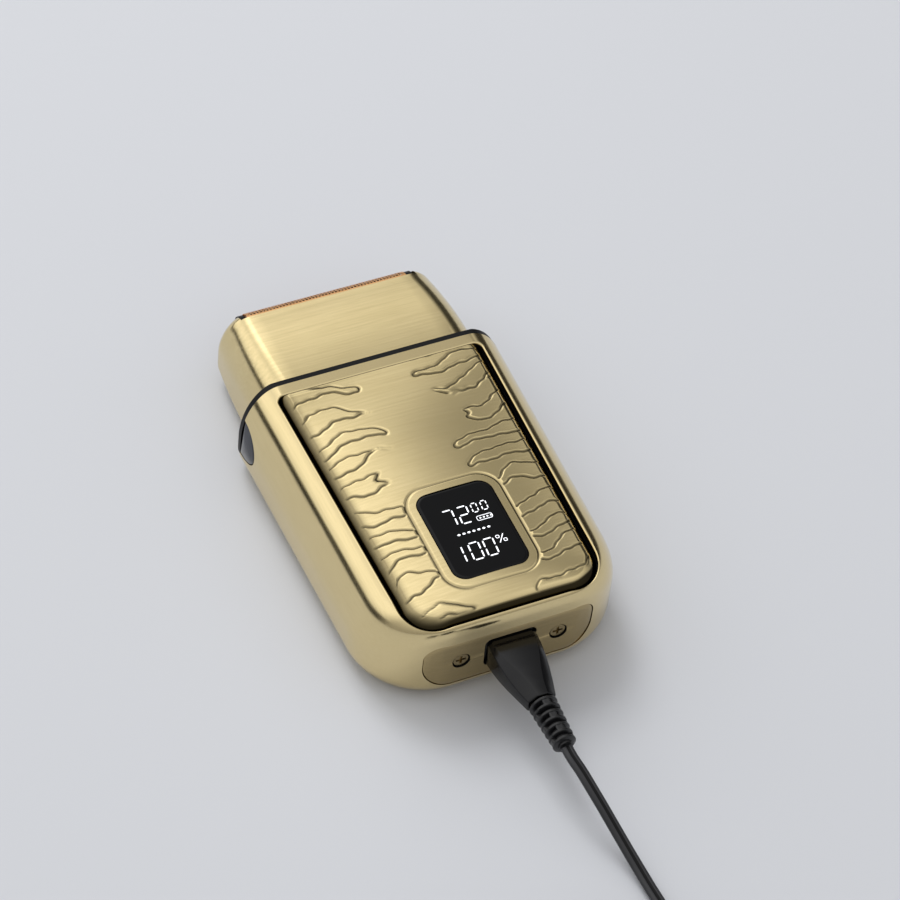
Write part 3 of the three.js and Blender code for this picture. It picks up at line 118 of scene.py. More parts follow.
def spread(material, value, low, high):
    return addNode(material, "ShaderNodeMapRange", {"Value": value, "To Min": low, "To Max": high}).outputs["Result"]


def between(material, share, first, second):
    return addNode(material, "ShaderNodeMix", {"Factor": share, "A": first, "B": second}, data_type="RGBA").outputs[2]


def weighted(material, value, weight, rest):
    return addNode(material, "ShaderNodeMath", {0: value, 1: weight, 2: rest}, operation="MULTIPLY_ADD").outputs[0]


def brushedMetal(name, light, dark, roughness, streak, stretch, depth, paintedShade=None):
    material = newMaterial(name)
    lines = grain(material, streak, 4, stretch)
    cloud = grain(material, 9)
    blend = weighted(material, cloud.outputs["Fac"], 0.3, weighted(material, lines.outputs["Fac"], 0.6, 0.2))
    tone = between(material, blend, linear(light), linear(dark))
    # Painted shade: a near-black colour mixed in as far as the groove attribute reaches
    if paintedShade:
        shadeShare = addNode(material, "ShaderNodeAttribute", attribute_name="groove").outputs["Fac"]
        tone = between(material, shadeShare, tone, linear(paintedShade))
    bump = addNode(material, "ShaderNodeBump",
                   {"Height": lines.outputs["Fac"], "Strength": 0.35, "Distance": depth * mm})
    shader = addNode(material, "ShaderNodeBsdfPrincipled",
                     {"Metallic": 1, "Base Color": tone,
                      "Roughness": spread(material, lines.outputs["Fac"], roughness - 0.05, roughness + 0.07),
                      "Normal": bump.outputs["Normal"]})
    return finishMaterial(material, shader)


def moulded(name, light, dark, roughness, size, depth, **extra):
    material = newMaterial(name)
    skin = grain(material, size)
    cloud = grain(material, 6)
    tone = between(material, cloud.outputs["Fac"], linear(light), linear(dark))
    bump = addNode(material, "ShaderNodeBump", {"Height": skin.outputs["Fac"], "Strength": 0.4, "Distance": depth * mm})
    shader = addNode(material, "ShaderNodeBsdfPrincipled",
                     {"Base Color": tone,
                      "Roughness": spread(material, skin.outputs["Fac"], roughness - 0.05, roughness + 0.05),
                      "Normal": bump.outputs["Normal"], **extra})
    return finishMaterial(material, shader)


# Anodised aluminium, brushed across the width on the flat faces: long fine streaks in a soft sheen, and a near-black
# painted shade where the groove attribute says so, in the engraved lines, round the window and along the rolled edge
brushedGold = brushedMetal("brushedAnodisedAluminium", "#f0ddac", "#cfbc8a", 0.17, 0.6, (0.04, 1, 1), 0.035, "#1d180c")
# The end plate: the same metal painted a shade darker and browner than the shell round it, a painted shade for the dark
# floor its face mirrors
plateGold = brushedMetal("shadedEndPlateAluminium", "#bfac80", "#a39168", 0.2, 0.5, (0.04, 1, 1), 0.006)
# The same metal, polished lengthwise on the rounded shell: crisp dark and bright bands along it
satinGold = brushedMetal("satinAnodisedAluminium", "#ead7a7", "#d8c594", 0.14, 0.4, (1, 0.04, 1), 0.005)
# Plated screw heads: dull and darker than the plate, so that they read as dots
screwNickel = brushedMetal("nickelPlatedScrew", "#b9a67c", "#8f7f5c", 0.3, 0.3, (1, 1, 1), 0.004)
# Electroformed foil with a copper-coloured titanium nitride coat: a warm glint between its holes
copperFoil = brushedMetal("coatedNickelFoil", "#eebf8c", "#dca26a", 0.34, 0.4, (0.1, 1, 1), 0.004)
# Springs, shaft and can in pale steel, blades and motor screws in dark steel
steelMetal = brushedMetal("stainlessSteel", "#c3c5c8", "#aeb0b3", 0.3, 0.3, (0.1, 1, 1), 0.004)
darkSteel = brushedMetal("blackenedSteel", "#3a3a3d", "#2c2c2f", 0.36, 0.3, (1, 1, 1), 0.004)
# Injection-moulded ABS with a fine spark-eroded grain: black with hardly a highlight
blackAbs = moulded("blackMouldedAbs", "#09090b", "#070708", 0.45, 0.3, 0.006, IOR=1.3)
# Hard-coated grey button, glossy enough to hold a soft reflection
greyAbs = moulded("greyLacqueredAbs", "#3b3d43", "#303238", 0.2, 0.5, 0.003)
# Slides and cams in natural nylon: off-white and waxy
whiteNylon = moulded("whiteNylon", "#e8e5dc", "#dedbd1", 0.5, 0.5, 0.006)
# The lead is greyer and duller than its boot, and the plug is smooth enough to show light along its facets
leadPvc = moulded("matteBlackPvc", "#28282b", "#1f1f22", 0.4, 0.35, 0.008)
cordRubber = moulded("blackTpeRubber", "#151517", "#0f0f11", 0.34, 0.35, 0.008)
plugRubber = moulded("blackMouldedPvc", "#0b0b0d", "#08080a", 0.16, 0.4, 0.002, IOR=1.4)
# Inside: the board's green resist and the cell's blue film
boardLaminate = moulded("greenSolderResist", "#1f5f40", "#194e35", 0.35, 0.8, 0.006)
cellFilm = moulded("blueShrinkFilm", "#3a78b8", "#316aa6", 0.3, 1.5, 0.01)
# Hardened acrylic window, smoked black and polished
smokedAcrylic = moulded("smokedAcrylic", "#050507", "#040405", 0.06, 3, 0.0, IOR=1.28)


# Lit segments: plain white that glows a little on the window
def litSegments():
    material = newMaterial("whiteLedSegments")
    shader = addNode(material, "ShaderNodeBsdfPrincipled",
                     {"Base Color": linear("#f4f6fa"), "Roughness": 0.4,
                      "Emission Color": linear("#f2f5fb"), "Emission Strength": 0.75})
    return finishMaterial(material, shader)


whiteLight = litSegments()
print("materials made")


# Mesh helpers
def toMetres(points):
    return [Vector(p) * mm for p in points]


def inMetres(bm):
    bmesh.ops.scale(bm, vec=(mm, mm, mm), verts=bm.verts)
    bmesh.ops.recalc_face_normals(bm, faces=bm.faces)


def skin(bm, rings, closeStart=True, closeEnd=True):
    station = bm.verts.layers.int.get("station") or bm.verts.layers.int.new("station")
    verts = bmesh.ops.create_circle(bm, segments=len(rings[0]), radius=mm)["verts"]
    for i, vert in enumerate(verts):
        vert[station] = i
        vert.co = rings[0][i]
    edges = list({edge for vert in verts for edge in vert.link_edges})
    if closeStart:
        bmesh.ops.contextual_create(bm, geom=edges)
    for ring in rings[1:]:
        made = bmesh.ops.extrude_edge_only(bm, edges=edges)["geom"]
        fresh = [item for item in made if isinstance(item, bmesh.types.BMVert)]
        for vert in fresh:
            vert.co = ring[vert[station]]
        known = set(fresh)
        edges = [item for item in made if isinstance(item, bmesh.types.BMEdge) and set(item.verts) <= known]
    if closeEnd:
        bmesh.ops.contextual_create(bm, geom=edges)
    bmesh.ops.recalc_face_normals(bm, faces=bm.faces)
    return bm


def toObject(name, bm, material, smoothAngle=40):
    mesh = bpy.data.meshes.new(name)
    bm.to_mesh(mesh)
    bm.free()
    return dress(bpy.data.objects.new(name, mesh), material, smoothAngle)


def dress(piece, material, smoothAngle=40):
    if piece.name not in bpy.context.scene.collection.objects:
        bpy.context.scene.collection.objects.link(piece)
    piece.data.materials.clear()
    piece.data.materials.append(material)
    piece.data.polygons.foreach_set("use_smooth", [True] * len(piece.data.polygons))
    piece.data.set_sharp_from_angle(angle=math.radians(smoothAngle))
    return piece


def settle(piece, material, smoothAngle=40):
    shown = piece.evaluated_get(bpy.context.evaluated_depsgraph_get())
    mesh = bpy.data.meshes.new_from_object(shown)
    piece.modifiers.clear()
    old = piece.data
    piece.data = mesh
    bpy.data.meshes.remove(old)
    return dress(piece, material, smoothAngle)


def blacken(piece, chosen):
    piece.data.materials.append(blackAbs)
    for face in piece.data.polygons:
        if chosen(face):
            face.material_index = 1


def combine(piece, cutters, operation="DIFFERENCE", smoothAngle=40):
    material = piece.data.materials[0]
    for cutter in cutters:
        modifier = piece.modifiers.new("cut", "BOOLEAN")
        modifier.operation = operation
        modifier.solver = "EXACT"
        modifier.object = cutter
        cutter.hide_render = True
    settle(piece, material, smoothAngle)
    for cutter in cutters:
        bpy.data.objects.remove(cutter)
    return piece


def place(piece, body, slotName, *nodes):
    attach(piece, body)
    if nodes:
        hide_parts(*nodes)
    return piece


def cutterFrom(rings):
    return toObject("cutter", skin(bmesh.new(), rings), blackAbs)


def prism(outline, start, stop, toPoint):
    return cutterFrom([toMetres([toPoint(u, v, level) for u, v in outline]) for level in (start, stop)])


def alongX(u, v, level):
    return (level, u, v)


def alongY(u, v, level):
    return (u, level, v)


def alongZ(u, v, level):
    return (u, v, level)


def roundedBox(u0, u1, v0, v1, lowRound, highRound=None, steps=8):
    highRound = lowRound if highRound is None else highRound
    corners = [(u1 - lowRound, v0 + lowRound, lowRound, -quarter), (u1 - highRound, v1 - highRound, highRound, 0),
               (u0 + highRound, v1 - highRound, highRound, quarter),
               (u0 + lowRound, v0 + lowRound, lowRound, 2 * quarter)]
    return [(cu + r * math.cos(start + quarter * i / steps), cv + r * math.sin(start + quarter * i / steps))
            for cu, cv, r, start in corners for i in range(steps + 1)]


def circle(u, v, radius, steps=32):
    return [(u + radius * math.cos(4 * quarter * i / steps), v + radius * math.sin(4 * quarter * i / steps))
            for i in range(steps)]


# Charging lead: out of the boot, down to the surface, into its coil, and on to the plug at its far end
lead = {"width": 2.8, "thick": 2.0, "groove": 0.3, "grooveWide": 0.45, "sides": 24, "step": 1.5, "coilX": -12.6,
        "coilY": -147, "outer": 19.3, "pitch": 3.3, "layers": 4, "turns": 8.25, "foot": 2.1, "steps": 30}
# The lead's route in points, with the coil between them
leadOut = [(0, -84, 12.2), (0, -86.8, 12.2), (0.5, -90, 11.7), (1.2, -94, 10.4), (2.2, -98.5, 8.3), (3.3, -103, 5.8),
           (4.3, -107.9, 3.6), (5, -112.2, 2.2), (5.4, -116.5, 1.6), (5.7, -121, 1.5), (6.1, -127, 1.5),
           (6.5, -134, 1.6), (6.7, -135.8, 1.8), (6.7, -141.1, 2.1), (6.7, -143.9, 2.1)]
leadBack = [(-15.7, -166.3, 12), (-18.5, -166.3, 12), (-22, -166.3, 10.6), (-26.5, -166.3, 8.2), (-31, -166.3, 5.9),
            (-36, -166.3, 4.5), (-40.56, -165.4, 4.1), (-44.52, -162.82, 4), (-47.1, -158.86, 4), (-48, -154.3, 4),
            (-48, -153.1, 4), (-48, -150.3, 4)]


def coilPoint(turns):
    perLayer = lead["turns"] / lead["layers"]
    layer = min(lead["layers"] - 1, int(turns / perLayer))
    within = turns - layer * perLayer
    radius = lead["outer"] - lead["pitch"] * (within if layer % 2 == 0 else perLayer - within)
    climb = sum((1 - math.cos(math.pi * min(1, max(0, (turns - i * perLayer) * 2 + 0.5)))) / 2
                for i in range(1, lead["layers"]))
    angle = -4 * quarter * turns
    return (lead["coilX"] + radius * math.cos(angle), lead["coilY"] + radius * math.sin(angle),
            lead["foot"] + lead["pitch"] * climb)


def smoothRoute(points, step):
    points = [Vector(p) for p in points]
    ends = [points[0] * 2 - points[1], *points, points[-1] * 2 - points[-2]]
    route = [points[0]]
    for a, b, c, d in zip(ends, ends[1:], ends[2:], ends[3:]):
        knots = [0]
        for p, q in ((a, b), (b, c), (c, d)):
            knots.append(knots[-1] + max(1e-6, (q - p).length) ** 0.5)
        count = max(1, round((c - b).length / step))
        for i in range(1, count + 1):
            t = mix(knots[1], knots[2], i / count)
            firsts = [p.lerp(q, (t - s) / (e - s)) for p, q, s, e in
                      ((a, b, knots[0], knots[1]), (b, c, knots[1], knots[2]), (c, d, knots[2], knots[3]))]
            seconds = [firsts[0].lerp(firsts[1], (t - knots[0]) / (knots[2] - knots[0])),
                       firsts[1].lerp(firsts[2], (t - knots[1]) / (knots[3] - knots[1]))]
            route.append(seconds[0].lerp(seconds[1], (t - knots[1]) / (knots[2] - knots[1])))
    return route


coilPath = [coilPoint(i / lead["steps"]) for i in range(round(lead["turns"] * lead["steps"]) + 1)]
leadPath = smoothRoute(leadOut + coilPath + leadBack, lead["step"])


# Two cores side by side give the lead a groove along each flat side
def twinSection():
    points = []
    for u, v in circle(0, 0, 1, lead["sides"]):
        wide = lead["width"] / 2 * u
        waist = 1 - lead["groove"] * math.exp(-(wide / lead["grooveWide"]) ** 2)
        points.append((wide, lead["thick"] / 2 * v * waist))
    return points


def tubeAlong(route, section):
    rings = []
    for i, point in enumerate(route):
        along = (route[min(len(route) - 1, i + 1)] - route[max(0, i - 1)]).normalized()
        side = along.cross(Vector((0, 0, 1))).normalized()
        over = side.cross(along)
        rings.append([(point + side * u + over * v) * mm for u, v in section])
    return rings


leadCord = toObject("charging_lead", skin(bmesh.new(), tubeAlong(leadPath, twinSection())), leadPvc, 50)
# The faces along the groove on each flat side are black: painted shade in the groove between the two cores
around = [item.value for item in leadCord.data.attributes["station"].data]
inGroove = {lead["sides"] // 4 + i for i in (-1, 0, 1)}
blacken(leadCord, lambda face: {around[v] % (lead["sides"] // 2) for v in face.vertices} <= inGroove)
place(leadCord, "lead", "cord_rubber", "charge_cord", "cord_coil", "cord_tail")

# Shell: sides, rounded end corners, a deep rounded front rim and a recess for the panel
shell = {"halfTop": 32.7, "halfEnd": 31.5, "top": 23.7, "end": 54.6, "thick": 24.6, "corner": 18, "sideWide": 9,
         "sideDeep": 14.5, "endWide": 1.4, "endDeep": 3.2, "backWide": 6.5, "backDeep": 6.2, "wall": 1.6, "dip": 0.7,
         "dipStart": 20, "lip": 0.35, "gap": 0.14, "backSteps": 8, "frontSteps": 24, "lipSteps": 5}
panel = {"top": 20.6, "end": 53.2, "halfTop": 25.2, "halfEnd": 23.6, "topRound": 1.6, "endRound": 8.5, "floor": 22.3,
         "edge": 22.45, "crown": 26.3, "shoulder": 24.6, "roll": 2.8, "rollCurve": 1.8, "topFade": 26, "endFade": 10}
# Centres of the round corners: of the shell, and of the panel's end
cornerX, cornerY = shell["halfEnd"] - shell["corner"], shell["corner"] - shell["end"]
arcX, arcY = panel["halfEnd"] - panel["endRound"], panel["endRound"] - panel["end"]


def bodyHalf(y):
    share = (y + shell["end"] - shell["corner"]) / (shell["top"] + shell["end"] - shell["corner"])
    return mix(shell["halfEnd"], shell["halfTop"], share)


def dip(x):
    return shell["dip"] * (max(0, abs(x) - shell["dipStart"]) / (shell["halfTop"] - shell["dipStart"])) ** 2


# How wide and deep the rounding of the front rim is, from the end to the side
def rimSize(side):
    return mix(shell["endWide"], shell["sideWide"], side), mix(shell["endDeep"], shell["sideDeep"], side)


def bodyInset(z, side):
    wide, deep = rimSize(side)
    over = (z - shell["thick"] + deep) / deep
    under = (shell["backDeep"] - z) / shell["backDeep"]
    if over > 0:
        return wide * (1 - math.sqrt(max(0, 1 - over * over)))
    if under > 0:
        return shell["backWide"] * (1 - math.sqrt(max(0, 1 - under * under)))
    return 0


def frontHeight(inset, side):
    wide, deep = rimSize(side)
    share = max(0, 1 - inset / wide)
    return shell["thick"] - deep + deep * math.sqrt(max(0, 1 - share * share))


def panelHalf(y, grow=0):
    return mix(panel["halfEnd"], panel["halfTop"], (y + panel["end"] - panel["endRound"]) /
               (panel["top"] + panel["end"] - panel["endRound"] - panel["topRound"])) + grow


# Outlines are read at stations, which run round the right half from the middle of the end to the middle of the collar
def recessAt(kind, t, grow):
    endY = -panel["end"] - grow
    arcR = panel["endRound"] + grow
    topR = panel["topRound"] + grow
    topY = panel["top"] + grow
    topX = panel["halfTop"] + grow - topR
    if kind == "end":
        return (t * cornerX, endY)
    if kind == "corner":
        a = t * quarter
        along = Vector((math.sin(a), -math.cos(a)))
        near, far, halvings = 0, 30, 40
        for _ in range(halvings):
            middle = (far + near) / 2
            x, y = cornerX + middle * along.x, cornerY + middle * along.y
            if x > arcX and y < arcY:
                outside = math.hypot(x - arcX, y - arcY) > arcR
            else:
                outside = y < endY or x > panelHalf(y, grow)
            far, near = (middle, near) if outside else (far, middle)
        return (cornerX + far * along.x, cornerY + far * along.y)
    if kind == "side":
        y = mix(cornerY, topY - topR, t)
        return (panelHalf(y, grow), y)
    if kind == "shoulder":
        a = t * quarter / 2
    elif kind == "collarSide":
        a = (1 + t) * quarter / 2
    else:
        return (topX * (1 - t), topY)
    return (topX + topR * math.cos(a), topY - topR + topR * math.sin(a))


def outlineAt(kind, t, inset):
    if kind == "end":
        return (t * cornerX, inset - shell["end"])
    if kind == "corner":
        a = t * quarter
        radius = shell["corner"] - inset
        return (cornerX + radius * math.sin(a), cornerY - radius * math.cos(a))
    sideTop = shell["top"] - shell["dip"]
    flat = panel["top"] - panel["topRound"]
    if kind == "side":
        y = mix(cornerY, flat, t)
        return (bodyHalf(y) - inset, y)
    if kind == "shoulder":
        y = mix(flat, sideTop, t)
        x = bodyHalf(y) - inset
        return (x, y + t * (shell["dip"] - dip(x)))
    reach = bodyHalf(shell["top"]) - inset
    start = panel["halfTop"] - panel["topRound"]
    x = mix(reach, min(start, reach), t) if kind == "collarSide" else min(start, reach) * (1 - t)
    return (x, shell["top"] - dip(x))


counts = {"end": 12, "corner": 30, "side": 50, "shoulder": 8, "collarSide": 14, "collar": 16}
halfStations = [(kind, i / count) for kind, count in counts.items() for i in range(count)] + [("collar", 1)]


def sideShare(kind, t):
    if kind == "end":
        return 0
    return smoothStep(0, 1, t) if kind == "corner" else 1


def mirrored(points):
    return points + [(-x, y, z) for x, y, z in reversed(points[1:-1])]


def shellRing(z, inset=0):
    ring = []
    for kind, t in halfStations:
        x, y = outlineAt(kind, t, bodyInset(z, sideShare(kind, t)) + inset)
        ring.append((x, y, z))
    return toMetres(mirrored(ring))


def frontRing(share):
    curve = 1 - math.cos(share * quarter)
    ring = []
    for kind, t in halfStations:
        outX, outY = outlineAt(kind, t, 0)
        inX, inY = recessAt(kind, t, shell["gap"] + shell["lip"])
        x, y = mix(outX, inX, curve), mix(outY, inY, curve)
        if kind in ("collar", "collarSide", "shoulder"):
            inset = max(0, bodyHalf(min(y, shell["top"])) - x)
        else:
            inset = math.hypot(outX - inX, outY - inY) * curve
        ring.append((x, y, frontHeight(inset, sideShare(kind, t))))
    return toMetres(mirrored(ring))


def recessRing(z):
    return toMetres(mirrored([(*recessAt(kind, t, shell["gap"]), z) for kind, t in halfStations]))


def shellSkin():
    backSteps, frontSteps, lipSteps = shell["backSteps"], shell["frontSteps"], shell["lipSteps"]
    rings = [shellRing(shell["backDeep"] * (1 - math.cos(quarter * i / backSteps))) for i in range(backSteps + 1)]
    rings += [frontRing(i / frontSteps) for i in range(frontSteps + 1)]
    crest = rings[-1]
    inner = recessRing(0)
    for i in range(1, lipSteps + 1):
        share, drop = math.sin(quarter * i / lipSteps), shell["lip"] * mm * (1 - math.cos(quarter * i / lipSteps))
        rings.append([Vector((mix(c.x, q.x, share), mix(c.y, q.y, share), c.z - drop)) for c, q in zip(crest, inner)])
    rings.append(recessRing(panel["floor"]))
    return rings


housing = toObject("housing_shell", skin(bmesh.new(), shellSkin()), satinGold, 32)
print("shell skinned")

# End plate with its port and screw recesses
endPlate = {"half": 20.4, "low": 5.2, "high": 18.9, "lowRound": 6.4, "highRound": 4.4, "thick": 2, "sunk": 0.12,
            "gap": 0.14, "bed": 2.3, "socketHigh": 12.2, "portHalf": 6.2, "portTall": 8.8, "portRound": 1.6,
            "screwAt": 11.7, "recess": 4.3, "outside": -60, "behind": -50, "shrinkLimit": -4.3,
            "closedAt": -6.8, "rim": 0.6, "seat": 2.6}


def endSurface(x):
    beyond = max(0, abs(x) - cornerX)
    return -shell["end"] + shell["corner"] - math.sqrt(max(0, shell["corner"] ** 2 - beyond ** 2))


def plateOutline(grow):
    p = endPlate
    return roundedBox(-p["half"] - grow, p["half"] + grow, p["low"] - grow, p["high"] + grow,
                      p["lowRound"] + grow, p["highRound"] + grow, steps=10)


def portOutline():
    p = endPlate
    return roundedBox(-p["portHalf"], p["portHalf"], p["socketHigh"] - p["portTall"] / 2,
                      p["socketHigh"] + p["portTall"] / 2, p["portRound"])


# What hollows the shell: open towards the collar, with a thick wall behind the end plate
cavity = {"middle": 17, "beyond": 3, "openFrom": 4, "endWall": 4}


def openShell():
    rings = []
    for z in (shell["wall"], shell["backDeep"], shell["thick"] - shell["sideDeep"], cavity["middle"],
              panel["floor"] - shell["wall"]):
        ring = shellRing(z, shell["wall"])
        for p in ring:
            atCollar = p.y > shell["top"] * mm - cavity["openFrom"] * mm
            p.y = p.y + cavity["beyond"] * mm if atCollar else max(p.y, (cavity["endWall"] - shell["end"]) * mm)
        rings.append(ring)
    return cutterFrom(rings)


def plateBed():
    rings = [toMetres([(x, endSurface(x) + level, z) for x, z in plateOutline(endPlate["gap"])])
             for level in (-2, endPlate["bed"])]
    return cutterFrom(rings)


def halfWithin(y):
    return panelHalf(np.clip(y, arcY, panel["top"]))


# How far inside the panel's outline a spot is, negative outside it
def insidePanel(x, y):
    half = halfWithin(y)
    corner = panel["endRound"] - np.hypot(np.maximum(np.abs(x) - arcX, 0), np.maximum(arcY - y, 0))
    inCorner = (np.abs(x) > arcX) & (y < arcY)
    return np.where(inCorner, corner, np.minimum(half - np.abs(x), y + panel["end"]))


button = {"y": 19.1, "z": 11.3, "edge": 22.7, "long": 7.4, "halfTall": 5.05, "proud": 0.6, "gap": 0.16, "beyond": 3,
          "steps": 48, "rings": 12, "deep": 4.2, "flange": 4.0, "edgeFrom": 0.93, "edgeDrop": 0.35,
          "cutFrom": 26, "cutTo": 36}
throat = {"half": 17.2, "low": 6.8, "high": 17.3, "round": 3, "start": -60, "stop": -48}
power = {"y": -9, "hole": 4.9, "deep": 4, "dish": ((7.4, -0.4), (7, 0), (6.6, 0.4), (6.5, 0.45))}
recessShade = {"low": 21.9, "high": 23.85, "stop": 21, "outside": -0.3}


def buttonOval(grow):
    points = []
    for i in range(button["steps"] + 1):
        a = 2 * quarter * i / button["steps"]
        points.append((button["edge"] - (button["long"] + grow) * math.sin(a),
                       button["z"] + (button["halfTall"] + grow) * math.cos(a)))
    return points


def buttonHole():
    half, beyond = button["halfTall"] + button["gap"], shell["top"] + button["beyond"]
    return buttonOval(button["gap"]) + [(beyond, button["z"] - half), (beyond, button["z"] + half)]


combine(housing, [openShell()])
combine(housing, [plateBed()])
sideCuts = [prism(buttonHole(), side * button["cutFrom"], side * button["cutTo"], alongX) for side in (-1, 1)]
throatCut = prism(roundedBox(-throat["half"], throat["half"], throat["low"], throat["high"], throat["round"]),
                  throat["start"], throat["stop"], alongY)
powerHole = prism(circle(0, power["y"], power["hole"]), -2, power["deep"], alongZ)
dishRings = [toMetres([(x, y, z) for x, y in circle(0, power["y"], radius, 64)]) for radius, z in power["dish"]]
combine(housing, sideCuts + [throatCut, powerHole, cutterFrom(dishRings)], smoothAngle=32)
# The recess walls round the panel are black: painted shade, a dark line where the recess lies in shadow
blacken(housing, lambda face: recessShade["low"] * mm < face.center.z < recessShade["high"] * mm
        and face.center.y < recessShade["stop"] * mm
        and insidePanel(face.center.x / mm, face.center.y / mm) > recessShade["outside"])
place(housing, "body", "gold_shell", "main_housing")
print("shell cut,", len(housing.data.polygons), "faces")

# Front panel: crowned, rolled at its edges, with wavy tongues outlined in it that thin out towards the middle
relief = {"pitch": 7.4, "raise": 0.16, "groove": 0.24, "wide": 0.28, "flat": 0.4, "columns": 240, "rows": 366,
          "crowded": 6, "paintedLineShade": 0.9, "paintedFrameShade": 0.5, "paintedEdgeShade": 0.97}
window = {"wide": 18.2, "long": 25.1, "y": -31.3, "round": 3.2, "thick": 1.4, "frame": 2.3, "gap": 0.12, "sunk": 0.06,
          "bevel": 0.35}


def roundedBoxDistance(x, y, halfX, halfY, radius):
    dx = np.abs(x) - halfX + radius
    dy = np.abs(y) - halfY + radius
    return np.hypot(np.maximum(dx, 0), np.maximum(dy, 0)) + np.minimum(np.maximum(dx, dy), 0) - radius


def frameDistance(x, y):
    return roundedBoxDistance(x, y - window["y"], window["wide"] / 2 + window["frame"],
                              window["long"] / 2 + window["frame"], window["round"] + window["frame"])


def waves(x, y):
    side = np.tanh(x / 3)
    row = (y + 1.1 * np.sin(0.23 * y + 1 + 0.8 * side) + 1.5 * np.sin(0.15 * x + 0.7)
           + 0.75 * np.sin(0.31 * x + 0.12 * y + 2.1) + 0.28 * np.sin(0.83 * x - 0.2 * y + 0.4)
           + 0.1 * np.sin(1.9 * x + 0.5 * y))
    reach = 17 + 4.5 * np.sin(1.03 * row + 1.7 * side + 0.6) + 3 * np.sin(0.57 * row + 2.2 * side + 2.2)
    inside = np.maximum(0, panel["halfTop"] - np.abs(x))
    taper = 0.42 - 1.42 * (inside / reach) ** 1.7 - 2.5 * smoothStep(17.5, 22, inside)
    closed = 1.3 * np.exp(-(inside / 4) ** 2) * smoothStep(-0.2, 0.8, np.sin(0.71 * row + 1.4 * side))
    uneven = 0.3 * np.sin(0.42 * x + 0.9 * side + 0.35 * row)
    return np.sin(row * 4 * quarter / relief["pitch"]) + taper - closed + uneven


# How far a spot is from the nearest outline, how clearly a line shows there, and how clearly the relief does
def wavesDistance(x, y, step=0.02):
    steepX, steepY = waves(x + step, y) - waves(x - step, y), waves(x, y + step) - waves(x, y - step)
    slope = np.hypot(steepX, steepY) / (2 * step)
    away = waves(x, y) / np.maximum(slope, relief["flat"])
    shows = smoothStep(0.3, 0.9, frameDistance(x, y)) * smoothStep(1.4, 2.4, insidePanel(x, y))
    line = np.exp(-(away / relief["wide"]) ** 2) * smoothStep(0.1, 0.3, slope)
    return away, line * shows, shows


def panelSurface(x, y):
    half = halfWithin(y)
    roll = np.clip((panel["roll"] - insidePanel(x, y)) / panel["roll"], 0, 1)
    arch = (panel["crown"] - panel["shoulder"]) * (1 - (x / half) ** 2)
    toEnd = np.sin(np.clip((y + panel["end"]) / panel["endFade"], 0, 1) * quarter)
    toBar = np.sin(np.clip((panel["top"] - y) / panel["topFade"], 0, 1) * quarter)
    return panel["shoulder"] - (panel["shoulder"] - panel["edge"]) * roll ** panel["rollCurve"] + arch * toEnd * toBar


def panelRelief(x, y):
    away, line, shows = wavesDistance(x, y)
    frameGroove = np.exp(-(frameDistance(x, y) / relief["wide"]) ** 2)
    height = relief["raise"] * smoothStep(-0.3, 0.3, away) * shows - relief["groove"] * line
    height -= relief["groove"] * 0.8 * frameGroove
    return height * np.clip((panel["top"] - y - 0.3) / 0.8, 0, 1)


def panelPiece():
    bm = bmesh.new()
    bmesh.ops.create_grid(bm, x_segments=relief["columns"], y_segments=relief["rows"], size=1)
    topArc = panel["top"] - panel["topRound"]
    for vert in bm.verts:
        u, v = vert.co.x, vert.co.y
        # Rows crowd at the rounded end, so that its corners come out round
        y = mix(-panel["end"], panel["top"], (v + 1) / 2)
        if y < relief["crowded"] - panel["end"]:
            y = -panel["end"] + (y + panel["end"]) ** 2 / relief["crowded"]
        half = panelHalf(max(y, arcY))
        if y < arcY:
            half = panel["halfEnd"] - panel["endRound"] + math.sqrt(max(0, panel["endRound"] ** 2 - (arcY - y) ** 2))
        if y > topArc:
            half += math.sqrt(max(0, panel["topRound"] ** 2 - (y - topArc) ** 2)) - panel["topRound"]
        vert.co = (u * half, y, 0)
    rim = [edge for edge in bm.edges if edge.is_boundary]
    xs, ys = np.array([vert.co[:2] for vert in bm.verts]).T
    for vert, height in zip(bm.verts, panelSurface(xs, ys) + panelRelief(xs, ys)):
        vert.co.z = height
    skirt = bmesh.ops.extrude_edge_only(bm, edges=rim)["geom"]
    for item in skirt:
        if isinstance(item, bmesh.types.BMVert):
            item.co.z = panel["floor"]
    bmesh.ops.contextual_create(bm, geom=[e for e in bm.edges if e.is_boundary])
    inMetres(bm)
    return toObject("engraved_panel", bm, brushedGold, 60)


def windowOutline(grow):
    return roundedBox(-window["wide"] / 2 - grow, window["wide"] / 2 + grow, window["y"] - window["long"] / 2 - grow,
                      window["y"] + window["long"] / 2 + grow, window["round"] + grow, steps=10)


frontPanel = panelPiece()
combine(frontPanel, [prism(windowOutline(window["gap"]), panel["floor"] - 1, panel["crown"] + 1, alongZ)],
        smoothAngle=60)
xs, ys = (np.array([vert.co[:2] for vert in frontPanel.data.vertices]) / mm).T
# Painted shade for the panel's metal: dark along the engraved lines, round the window frame and in the rolled edge
paintedLineShade = relief["paintedLineShade"] * wavesDistance(xs, ys)[1]
paintedFrameShade = relief["paintedFrameShade"] * np.exp(-(frameDistance(xs, ys) / relief["wide"]) ** 2)
# Painted shade in the rolled edge, for the shadow of the recess: soft along the left and crisp along the right and the
# end
atEnd = smoothStep(-48, -51, ys) * smoothStep(-22, -10, xs)
crisp = np.maximum(smoothStep(-12, 6, xs), atEnd)
fromEdge = insidePanel(xs, ys) - 0.7 * atEnd
paintedEdgeShade = relief["paintedEdgeShade"] * (1 - smoothStep(mix(0.5, 0.9, crisp), mix(4.4, 1.35, crisp), fromEdge))
groove = frontPanel.data.attributes.new("groove", "FLOAT", "POINT")
groove.data.foreach_set("value", np.maximum(np.maximum(paintedLineShade, paintedFrameShade), paintedEdgeShade))
